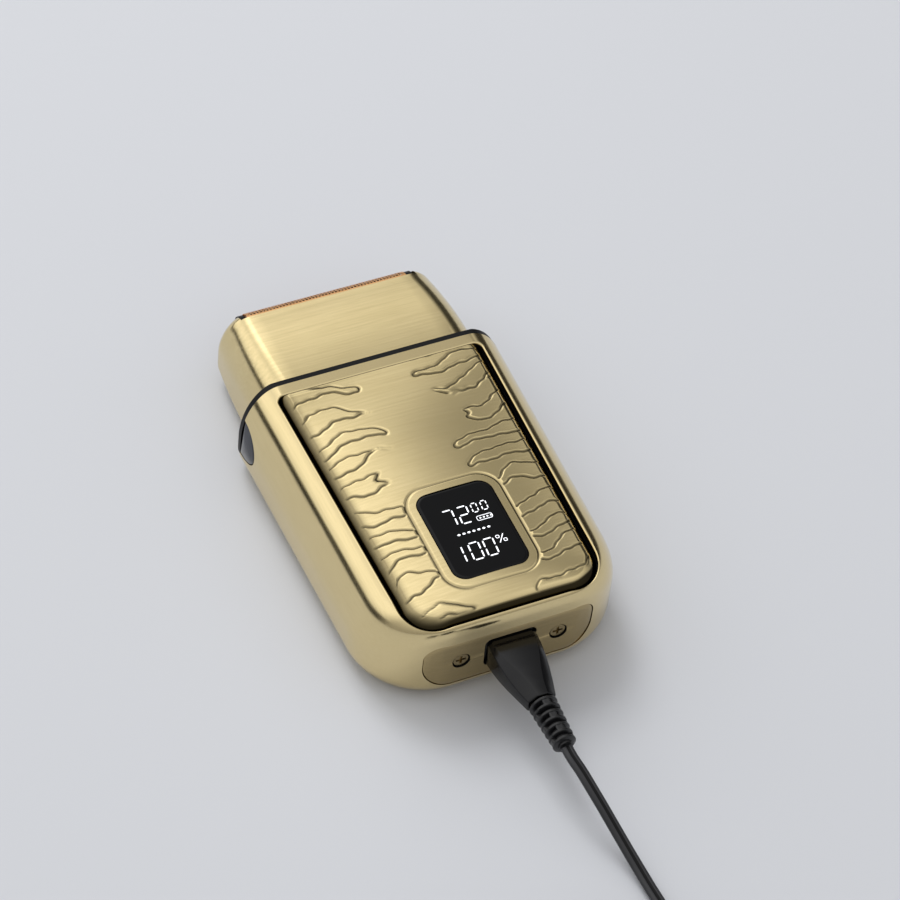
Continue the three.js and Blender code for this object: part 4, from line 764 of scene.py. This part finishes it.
# The panel's upright sides are black: painted shade in the gaps round it
blacken(frontPanel, lambda face: abs(face.normal.z) < 0.2 and face.center.z < panel["shoulder"] * mm)
place(frontPanel, "body", "gold_shell", "front_panel")
print("panel engraved,", len(frontPanel.data.polygons), "faces")


# Window with a bevelled edge, and the lit figures on it
def windowPiece():
    top, bevel = panel["crown"] - window["sunk"], window["bevel"]
    rings = [toMetres([(x, y, z) for x, y in windowOutline(-inset)])
             for inset, z in ((0, panel["crown"] - window["thick"]), (0, top - bevel), (bevel * 0.3, top - bevel * 0.3),
                              (bevel, top), (bevel + 0.5, top))]
    return toObject("display_window", skin(bmesh.new(), rings), smokedAcrylic, 60)


place(windowPiece(), "body", "gloss_window", "display_lens")

figures = {"lean": 0.06, "bar": 0.32, "gap": 0.24, "dot": 0.5, "raise": 0.03}
segmentsLit = {"0": "abcdef", "1": "bc", "2": "abged", "7": "abc"}


def barShape(bm, start, stop, thick):
    start, stop = Vector(start), Vector(stop)
    along = (stop - start).normalized()
    side = Vector((-along.y, along.x)) * thick / 2
    point = along * thick / 2
    outline = [start, start + point + side, stop - point + side, stop, stop - point - side, start + point - side]
    verts = [bm.verts.new((p.x, p.y, 0)) for p in outline]
    bm.faces.new(verts)


def digit(bm, mark, x, y, wide, tall, thick):
    gap = figures["gap"] * thick / figures["bar"]
    lines = {"a": ((0, tall), (wide, tall)), "b": ((wide, tall), (wide, tall / 2)), "c": ((wide, tall / 2), (wide, 0)),
             "d": ((0, 0), (wide, 0)), "e": ((0, tall / 2), (0, 0)), "f": ((0, tall), (0, tall / 2)),
             "g": ((0, tall / 2), (wide, tall / 2))}
    for name in segmentsLit[mark]:
        (u0, v0), (u1, v1) = lines[name]
        along = Vector((u1 - u0, v1 - v0)).normalized() * gap
        start = (x + u0 + along.x + figures["lean"] * v0, y + v0 + along.y)
        stop = (x + u1 - along.x + figures["lean"] * v1, y + v1 - along.y)
        barShape(bm, start, stop, thick)


def ringShape(bm, x, y, wide, tall, thick):
    outer = roundedBox(x - wide, x + wide, y - tall, y + tall, min(wide, tall) * 0.7, steps=4)
    inner = roundedBox(x - wide + thick, x + wide - thick, y - tall + thick, y + tall - thick,
                       max(0.05, min(wide, tall) * 0.7 - thick), steps=4)
    loops = []
    for outline in (outer, inner):
        verts = [bm.verts.new((u, v, 0)) for u, v in outline]
        loops += [bm.edges.new((verts[i], verts[(i + 1) % len(verts)])) for i in range(len(verts))]
    bmesh.ops.bridge_loops(bm, edges=loops)


def displayFigures():
    bm = bmesh.new()
    big, small = (2.4, 4.7, figures["bar"]), (1.3, 2.5, figures["bar"] * 0.75)
    for mark, x, y, size in (("7", -4.9, -29.3, big), ("2", -1.4, -29.3, big), ("0", 2.2, -27.1, small),
                             ("0", 4.5, -27.1, small), ("1", -7.2, -39.6, big), ("0", -3.1, -39.6, big),
                             ("0", 0.4, -39.6, big)):
        digit(bm, mark, x, y, *size)
    for x, y, wide, tall, thick in ((4, -29, 1.9, 0.7, 0.15), (4.3, -35.2, 0.45, 0.45, 0.16),
                                    (5.7, -36.5, 0.45, 0.45, 0.16)):
        ringShape(bm, x, y, wide, tall, thick)
    for count, x, y, pitch, long in ((4, 2.7, -29, 0.85, 0.55), (7, -3.9, -31.9, 1.2, 0.8)):
        for i in range(count):
            barShape(bm, (x + i * pitch, y), (x + long + i * pitch, y), figures["dot"])
    barShape(bm, (4.2, -37.0), (5.8, -34.7), 0.22)
    faces = bmesh.ops.extrude_face_region(bm, geom=bm.faces[:])["geom"]
    bmesh.ops.translate(bm, vec=(0, 0, figures["raise"]), verts=[v for v in faces if isinstance(v, bmesh.types.BMVert)])
    bmesh.ops.translate(bm, vec=(0, 0, panel["crown"] - window["sunk"]), verts=bm.verts)
    inMetres(bm)
    return toObject("display_figures", bm, whiteLight, 30)


place(displayFigures(), "body", "gloss_window")
print("window and figures made")


# End plate: follows the rounded end, with a port for the plug and two recessed screws
def plateSkin():
    p = endPlate
    levels = ((0, p["thick"]), (0, 0.2), (-0.06, 0.06), (-0.2, 0), (-1.5, 0), (-3.4, 0), (-5.2, 0), (-6.4, 0))
    rings = []
    middle = (p["low"] + p["high"]) / 2
    for grow, back in levels:
        outline = plateOutline(max(grow, p["shrinkLimit"]))
        # Further in, the outline closes on the middle line
        if grow < p["shrinkLimit"]:
            share = (grow - p["closedAt"]) / (p["shrinkLimit"] - p["closedAt"])
            outline = [(x, mix(middle, z, share)) for x, z in outline]
        rings.append(toMetres([(x, endSurface(x) + p["sunk"] + back, z) for x, z in outline]))
    return rings


plateCover = toObject("end_cover", skin(bmesh.new(), plateSkin()), plateGold, 40)
plateCuts = [prism(outline, endPlate["outside"], endPlate["behind"], alongY) for outline in
             (portOutline(), *(circle(side * endPlate["screwAt"], endPlate["socketHigh"], endPlate["recess"] / 2)
                                for side in (-1, 1)))]
combine(plateCover, plateCuts, smoothAngle=32)
# The walls of the screw recesses and of the port are black: painted shade in the recesses
blacken(plateCover, lambda face: abs(face.normal.y) < 0.5
        and abs(face.center.x) / mm < endPlate["screwAt"] + endPlate["seat"]
        and endPlate["low"] + endPlate["rim"] < face.center.z / mm < endPlate["high"] - endPlate["rim"])
place(plateCover, "body", "gold_shell", "end_plate")
print("end plate made,", len(plateCover.data.polygons), "faces")

# Release buttons: half ovals that stand on the collar, domed, with the flange and hook behind them
for name, side in (("left", -1), ("right", 1)):
    reach = bodyHalf(button["y"])
    rings = [[(side * (reach - button["deep"]), y, z) for y, z in buttonOval(0)]]
    for share in [1, 0.99, 0.97, 0.93] + [1 - i / button["rings"] for i in range(1, button["rings"])]:
        edge = button["edgeDrop"] * max(0, share - button["edgeFrom"]) / (1 - button["edgeFrom"])
        dome = button["proud"] * (1 - share * share) - edge * edge / button["edgeDrop"]
        ring = []
        for y, z in buttonOval(0):
            v, w = mix(button["y"], y, share), mix(button["z"], z, share)
            ring.append((side * (reach - bodyInset(w, 1) + dome), v, w))
        rings.append(ring)
    cap = toObject("release_cap_" + name, skin(bmesh.new(), [toMetres(ring) for ring in rings]), greyAbs, 50)
    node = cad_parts["release_button_" + name]
    bm = bmesh.new()
    bm.from_mesh(node.data)
    hook = toObject("cutter", bm, blackAbs)
    trim = prism(roundedBox(8, 40, 0, 24, 1), side * (reach - button["flange"]), side * (reach + 3), alongX)
    combine(hook, [trim])
    combine(cap, [hook], "UNION", 50)
    place(cap, "release_" + name, "grey_button", "release_button_" + name)
print("release buttons made")

# Head cover: tapers to the foils, with a rounded front and a domed top at both ends
head = {"foot": 25.35, "halfFoot": 27.9, "halfTop": 27.4, "bulge": 0.42, "shoulder": 49.2, "top": 54.6, "topHalf": 20.9,
        "footLow": 0.85, "footHigh": 23.15, "topLow": 1.8, "topHigh": 20.2, "wall": 1.1, "frontWide": 7.4,
        "frontDeep": 10.5, "backWide": 3.7, "backDeep": 3.7, "domeDrop": 8.2, "open": 22.2, "slot": 49.6, "axis": 11,
        "curve": 0.7, "cheekRadius": 4, "cheekDip": 0.8, "across": 16, "sideSteps": 14, "domeSteps": 12,
        "slotHalf": 8, "slotRound": 0.3, "slotFrom": 45, "beyond": 58, "overFoot": 3, "cheekHalf": 30}


def headOutline(y, inset, steps=14):
    h = head
    t = (y - h["foot"]) / (h["shoulder"] - h["foot"])
    s = min(1, max(0, (y - h["shoulder"]) / (h["top"] - h["shoulder"])))
    fall = 1 - math.sqrt(1 - s * s)
    straight = min(1, t)
    bulge = h["bulge"] * 4 * straight * (1 - straight)
    half = mix(h["halfFoot"], h["halfTop"], straight) + bulge - (h["halfTop"] - h["topHalf"]) * fall - inset
    curved = mix(straight, straight * straight, h["curve"])
    high = mix(h["footHigh"], h["topHigh"], curved) - h["domeDrop"] * fall - inset
    low = mix(h["footLow"], h["topLow"], straight) + h["domeDrop"] * fall + inset
    room = min(1, (high - low) / (h["frontDeep"] + h["backDeep"]) * 0.95)
    front = [(h["frontWide"] - inset) * room, (h["frontDeep"] - inset) * room]
    back = [(h["backWide"] - inset) * room, (h["backDeep"] - inset) * room]
    points = []
    for sx, z, (wide, deep), start in ((1, low + back[1], back, -quarter), (1, high - front[1], front, 0),
                                       (-1, high - front[1], front, quarter), (-1, low + back[1], back, 2 * quarter)):
        points += [(sx * (half - wide) + wide * math.cos(start + quarter * i / steps),
                    z + deep * math.sin(start + quarter * i / steps)) for i in range(steps + 1)]
        if start in (0, 2 * quarter):
            flat, level = sx * (half - wide), high if start == 0 else low
            points += [(mix(flat, -flat, i / h["across"]), level) for i in range(1, h["across"])]
    return points


def headRing(share):
    points = headOutline(mix(head["foot"], head["shoulder"], share), 0)
    return toMetres([(x, mix(head["foot"] - dip(x), head["shoulder"], share), z) for x, z in points])


rings = [headRing(i / head["sideSteps"]) for i in range(head["sideSteps"] + 1)]
for i in range(1, head["domeSteps"] + 1):
    y = mix(head["shoulder"], head["top"], math.sin(quarter * i / head["domeSteps"]))
    rings.append(toMetres([(x, y, z) for x, z in headOutline(y, 0)]))
headCover = toObject("head_shell", skin(bmesh.new(), rings), brushedGold, 40)
innerRings = []
for share in (0, 0.25, 0.5, 0.75, 0.86):
    y = mix(head["foot"], head["shoulder"], share)
    outline = headOutline(y, head["wall"])
    innerRings.append(toMetres([(x, y - (dip(x) + head["overFoot"] if share == 0 else 0), z) for x, z in outline]))
slots = [prism(roundedBox(-head["open"], head["open"], low, high, head["slotRound"]), start, head["beyond"], alongY)
         for low, high, start in ((head["axis"] - head["slotHalf"], head["axis"] + head["slotHalf"], head["slotFrom"]),
                                  (-2, 26, head["slot"]))]
combine(headCover, [cutterFrom(innerRings), *slots])
cheek = prism(circle(head["top"] + head["cheekRadius"] - head["cheekDip"], head["axis"], head["cheekRadius"], 48),
              -head["cheekHalf"], head["cheekHalf"], alongX)
combine(headCover, [cheek], smoothAngle=35)
place(headCover, "head", "gold_shell", "head_cover")
print("head cover made,", len(headCover.data.polygons), "faces")


# Collar: a black band between the shell and the head
collar = {"thick": 1.35, "gap": 0.12, "inset": 0.2, "deep": 4.2, "backSteps": 10, "frontSteps": 20, "across": 24}


def collarSection(inset):
    low, high = inset, shell["thick"] - inset
    backSteps, frontSteps, across = collar["backSteps"], collar["frontSteps"], collar["across"]
    heights = [shell["backDeep"] * (1 - math.cos(quarter * i / backSteps)) for i in range(backSteps + 1)]
    heights += [shell["thick"] - shell["sideDeep"] * (1 - math.sin(quarter * i / frontSteps))
                for i in range(frontSteps + 1)]
    heights = [min(high, max(low, z)) for z in heights]
    right = [(bodyHalf(shell["top"]) - bodyInset(z, 1) - inset, z) for z in heights]
    top = [(mix(right[-1][0], -right[-1][0], i / across), high) for i in range(1, across)]
    bottom = [(mix(-right[0][0], right[0][0], i / across), low) for i in range(1, across)]
    return right + top + [(-x, z) for x, z in reversed(right)] + bottom


def collarPiece():
    outer, inner = collarSection(collar["inset"]), collarSection(collar["deep"])
    near, far = collar["gap"], collar["gap"] + collar["thick"]
    rings = [toMetres([(x, shell["top"] - dip(x) + lift, z) for x, z in outline])
             for outline, lift in ((inner, near), (outer, near), (outer, far), (inner, far))]
    bm = bmesh.new()
    skin(bm, rings, False, False)
    loops = [edge for edge in bm.edges if edge.is_boundary]
    bmesh.ops.bridge_loops(bm, edges=loops)
    bmesh.ops.remove_doubles(bm, verts=bm.verts, dist=0.01 * mm)
    bmesh.ops.recalc_face_normals(bm, faces=bm.faces)
    return toObject("collar_band", bm, blackAbs, 40)


place(collarPiece(), "body", "black_moulding", "collar_ring")
print("collar made")

# Foils: thin sheets bent over the cutters, with their holes cut through
foil = {"spread": 4.15, "radius": 3.55, "thick": 0.12, "half": 20.2, "axisY": 50.3, "leg": 3.5, "pitch": 0.82,
        "land": 0.19, "holedShare": 0.86, "plainEnd": 1.2}
for name, side in (("front", 1), ("rear", -1)):
    columns = round(2 * foil["half"] / foil["pitch"])
    arc = math.pi * foil["radius"]
    span = arc + 2 * foil["leg"]
    rows = 2 * round(span / foil["pitch"] / 2)
    bm = bmesh.new()
    bmesh.ops.create_grid(bm, x_segments=columns, y_segments=rows, size=1)
    bmesh.ops.scale(bm, vec=(foil["half"], span / 2, 1), verts=bm.verts)
    holed = [face for face in bm.faces if abs(face.calc_center_median().y) < arc / 2 * foil["holedShare"]
             and abs(face.calc_center_median().x) < foil["half"] - foil["plainEnd"]]
    bmesh.ops.inset_individual(bm, faces=holed, thickness=foil["land"], use_even_offset=True)
    bmesh.ops.delete(bm, geom=holed, context="FACES")
    for vert in bm.verts:
        x, v = vert.co.x, vert.co.y
        a = max(-quarter, min(quarter, v / foil["radius"]))
        beyond = abs(v) - arc / 2
        y = foil["axisY"] + foil["radius"] * math.cos(a) - max(0, beyond)
        z = head["axis"] + side * foil["spread"] + foil["radius"] * math.sin(a)
        vert.co = Vector((x, y, z)) * mm
    bmesh.ops.recalc_face_normals(bm, faces=bm.faces)
    sheet = toObject("foil_mesh_" + name, bm, copperFoil, 60)
    thicken = sheet.modifiers.new("thick", "SOLIDIFY")
    thicken.thickness = foil["thick"] * mm
    thicken.offset = -1
    settle(sheet, copperFoil, 60)
    place(sheet, "head", "copper_foil", "foil_" + name)
print("foils made")

# Plug: a flat body with faceted shoulders that narrows to its ribbed boot
plug = {"face": 53.6, "long": 17.4, "halfWide": 5.8, "halfTall": 4, "high": 12.2, "bevel": 0.22, "sharp": 0.12,
        "wide": ((0, 0.93), (0.04, 0.99), (0.12, 1), (0.35, 0.97), (0.6, 0.86), (0.8, 0.73), (1, 0.57)),
        "tall": ((0, 0.9), (0.04, 0.98), (0.12, 1), (0.5, 0.93), (0.8, 0.83), (1, 0.75)),
        "stations": (0, 0.04, 0.12, 0.25, 0.4, 0.6, 0.8, 0.97, 1), "nose": (-4.4, 4.4, 9.8, 14.6, 1.2),
        "noseFrom": -54.6, "noseTo": -47.4}


def along(curve, share):
    for (s0, v0), (s1, v1) in zip(curve, curve[1:]):
        if share <= s1:
            return mix(v0, v1, (share - s0) / (s1 - s0))


def plugRing(share):
    wide, tall = plug["halfWide"] * along(plug["wide"], share), plug["halfTall"] * along(plug["tall"], share)
    chamferWide = mix(1, wide * 0.62, smoothStep(0.15, 0.9, share))
    chamferTall = mix(1, tall * 0.55, smoothStep(0.1, 0.9, share))
    corners = [(wide, -tall + chamferTall), (wide, tall - chamferTall), (wide - chamferWide, tall),
               (chamferWide - wide, tall), (-wide, tall - chamferTall), (-wide, chamferTall - tall),
               (chamferWide - wide, -tall), (wide - chamferWide, -tall)]
    return toMetres([(x, -plug["face"] - plug["long"] * share, plug["high"] + z) for x, z in corners])


bm = bmesh.new()
skin(bm, [plugRing(share) for share in plug["stations"]])
sharp = [edge for edge in bm.edges if edge.is_manifold and edge.calc_face_angle(0) > plug["sharp"]]
bmesh.ops.bevel(bm, geom=sharp, offset=plug["bevel"] * mm, affect="EDGES", segments=3, profile=0.5, material=-1)
plugBody = toObject("plug_body", bm, plugRubber, 30)
nose = prism(roundedBox(*plug["nose"]), plug["noseFrom"], plug["noseTo"], alongY)
combine(plugBody, [nose], "UNION", 16)
plugBody.visible_glossy = False
place(plugBody, "lead", "black_moulding", "charge_plug")

# Boot: rings with slots left between them on alternate sides
boot = {"start": -71.3, "long": 12.4, "ribs": 7, "radius": 3.3, "endRadius": 2.75, "core": 1.75, "high": 12.2,
        "sides": 40, "web": 0.9}


def ribRadius(i):
    return mix(boot["radius"], boot["endRadius"], i / (boot["ribs"] - 1))


rings = []
pitch = boot["long"] / boot["ribs"]
for i in range(boot["ribs"]):
    outer = ribRadius(i)
    for offset, radius in ((0.06, boot["core"]), (0.16, outer - 0.22), (0.24, outer - 0.04), (0.36, outer),
                           (0.5, outer - 0.04), (0.58, outer - 0.22), (0.68, boot["core"]), (0.98, boot["core"])):
        rings.append((radius, (i + offset) * pitch))
rings = [toMetres([(x, boot["start"] - along, z) for x, z in circle(0, boot["high"], radius, boot["sides"])])
         for radius, along in rings]
ribbed = toObject("ribbed_boot", skin(bmesh.new(), rings), cordRubber, 40)
webs = []
for i in range(boot["ribs"] - 1):
    outer = ribRadius(i) - 0.25
    near, far = boot["start"] - (i + 0.4) * pitch, boot["start"] - (i + 1.3) * pitch
    wide, tall = (boot["web"], outer) if i % 2 == 0 else (outer, boot["web"])
    outline = roundedBox(-wide, wide, boot["high"] - tall, boot["high"] + tall, 0.3, steps=3)
    webs.append(prism(outline, far, near, alongY))
combine(ribbed, webs, "UNION")
place(ribbed, "lead", "cord_rubber", "plug_boot")
print("plug and boot made")

# Pieces that keep their CAD shape get their own materials
nodeMaterials = (
    (blackAbs, "display_module", "power_button", "tact_switch", "charge_socket", "inner_frame", "drive_guide",
     "foil_frame", "cutter_carrier_front", "cutter_carrier_rear", "cord_tie"),
    (steelMetal, "motor_can", "motor_shaft", "release_spring_left", "release_spring_right", "cutter_spring_front",
     "cutter_spring_rear", "usb_shell"),
    (darkSteel, "motor_screw_left", "motor_screw_right", "cutter_block_front", "cutter_block_rear"),
    (whiteNylon, "drive_cams", "drive_yoke_front", "drive_yoke_rear", "usb_tongue"),
    (screwNickel, "end_screw_left", "end_screw_right"), (boardLaminate, "circuit_board"),
    (cellFilm, "battery_cell"), (plugRubber, "usb_grip"))
for material, *names in nodeMaterials:
    for name in names:
        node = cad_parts[name]
        node.data.materials.clear()
        node.data.materials.append(material)

# Plain pale floor, matte enough to hold no reflection
floorMesh = bmesh.new()
bmesh.ops.create_grid(floorMesh, x_segments=1, y_segments=1, size=6)
bmesh.ops.translate(floorMesh, vec=(0, 0, -0.0001), verts=floorMesh.verts)
floorFinish = newMaterial("paleFloor")
floorShader = addNode(floorFinish, "ShaderNodeBsdfPrincipled", {"Base Color": linear("#c9cbd0"), "Roughness": 0.7})
finishMaterial(floorFinish, floorShader)
floor = toObject("floor", floorMesh, floorFinish)

# Studio light by direction. Seen along the object, a wide bright panel runs from low on the left to just past the
# middle, a narrow one follows on the right, and both sides are dark at the horizon. Lower at the back it is brighter
world = bpy.data.worlds.new("studio")
bpy.context.scene.world = world
world.use_nodes = True
world.node_tree.nodes.clear()
glow = ((-90, 0.02), (-80, 0.03), (-76, 1), (-60, 1.3), (-40, 1.3), (-20, 1.05), (5, 1.35), (11, 1.35), (15.6, 0.98),
        (21.5, 0.6), (27.7, 0.4), (33.4, 0.32), (36, 0.4), (39, 0.6), (44, 0.6), (50, 0.3), (58, 0.05), (84, 0.04),
        (90, 0.3))


def ranged(value, low, high, start=0, stop=1):
    return addNode(world, "ShaderNodeMapRange", {"Value": value, "From Min": low, "From Max": high, "To Min": start,
                                                 "To Max": stop}, interpolation_type="SMOOTHSTEP").outputs[0]


def maths(operation, *values):
    return addNode(world, "ShaderNodeMath", dict(enumerate(values)), operation=operation).outputs[0]


coords = addNode(world, "ShaderNodeTexCoord")
way = addNode(world, "ShaderNodeSeparateXYZ", {"Vector": coords.outputs["Generated"]}).outputs
angle = maths("ARCTAN2", way["X"], way["Z"])
ramp = addNode(world, "ShaderNodeValToRGB", {"Fac": maths("MULTIPLY_ADD", angle, 1 / (2 * quarter), 0.5)})
brightest = max(level for _, level in glow)
for i, (degrees, level) in enumerate(glow):
    position = degrees / 180 + 0.5
    element = ramp.color_ramp.elements[i] if i < 2 else ramp.color_ramp.elements.new(position)
    element.position = position
    element.color = (level / brightest,) * 3 + (1,)
lowBack = maths("MULTIPLY", ranged(way["Y"], 0.6, 0.87, 0, 0.95), ranged(angle, 0.45, 0.8, 1, 0))
lowBack = maths("MULTIPLY", lowBack, ranged(angle, -0.4, 0.3))
front = maths("ADD", maths("MULTIPLY", ramp.outputs["Color"], brightest), lowBack)
front = maths("MULTIPLY", front, ranged(way["Y"], 0.9, 0.98, 1, 0.5))
rear = ranged(way["Z"], -0.2, 1, 0.3, 0.85)
level = addNode(world, "ShaderNodeMix", {0: ranged(way["Y"], -0.1, 0.35), 2: rear, 3: front}, data_type="FLOAT")
background = addNode(world, "ShaderNodeBackground", {"Color": level.outputs[0], "Strength": 1.0})
addNode(world, "ShaderNodeOutputWorld", {"Surface": background.outputs["Background"]})


# One soft key lamp, high on the head's side, which no surface mirrors
key = {"place": (-0.13, 0.75, 1.05), "size": 0.5, "watts": 6}
lamp = bpy.data.lights.new("keyLight", "AREA")
lamp.shape = "RECTANGLE"
lamp.size = lamp.size_y = key["size"]
lamp.energy = key["watts"]
lampObject = bpy.data.objects.new("keyLight", lamp)
bpy.context.scene.collection.objects.link(lampObject)
lampObject.location = key["place"]
lampObject.rotation_euler = (-Vector(key["place"])).to_track_quat("-Z", "Y").to_euler()
lampObject.visible_glossy = False
print("stage and lights set")
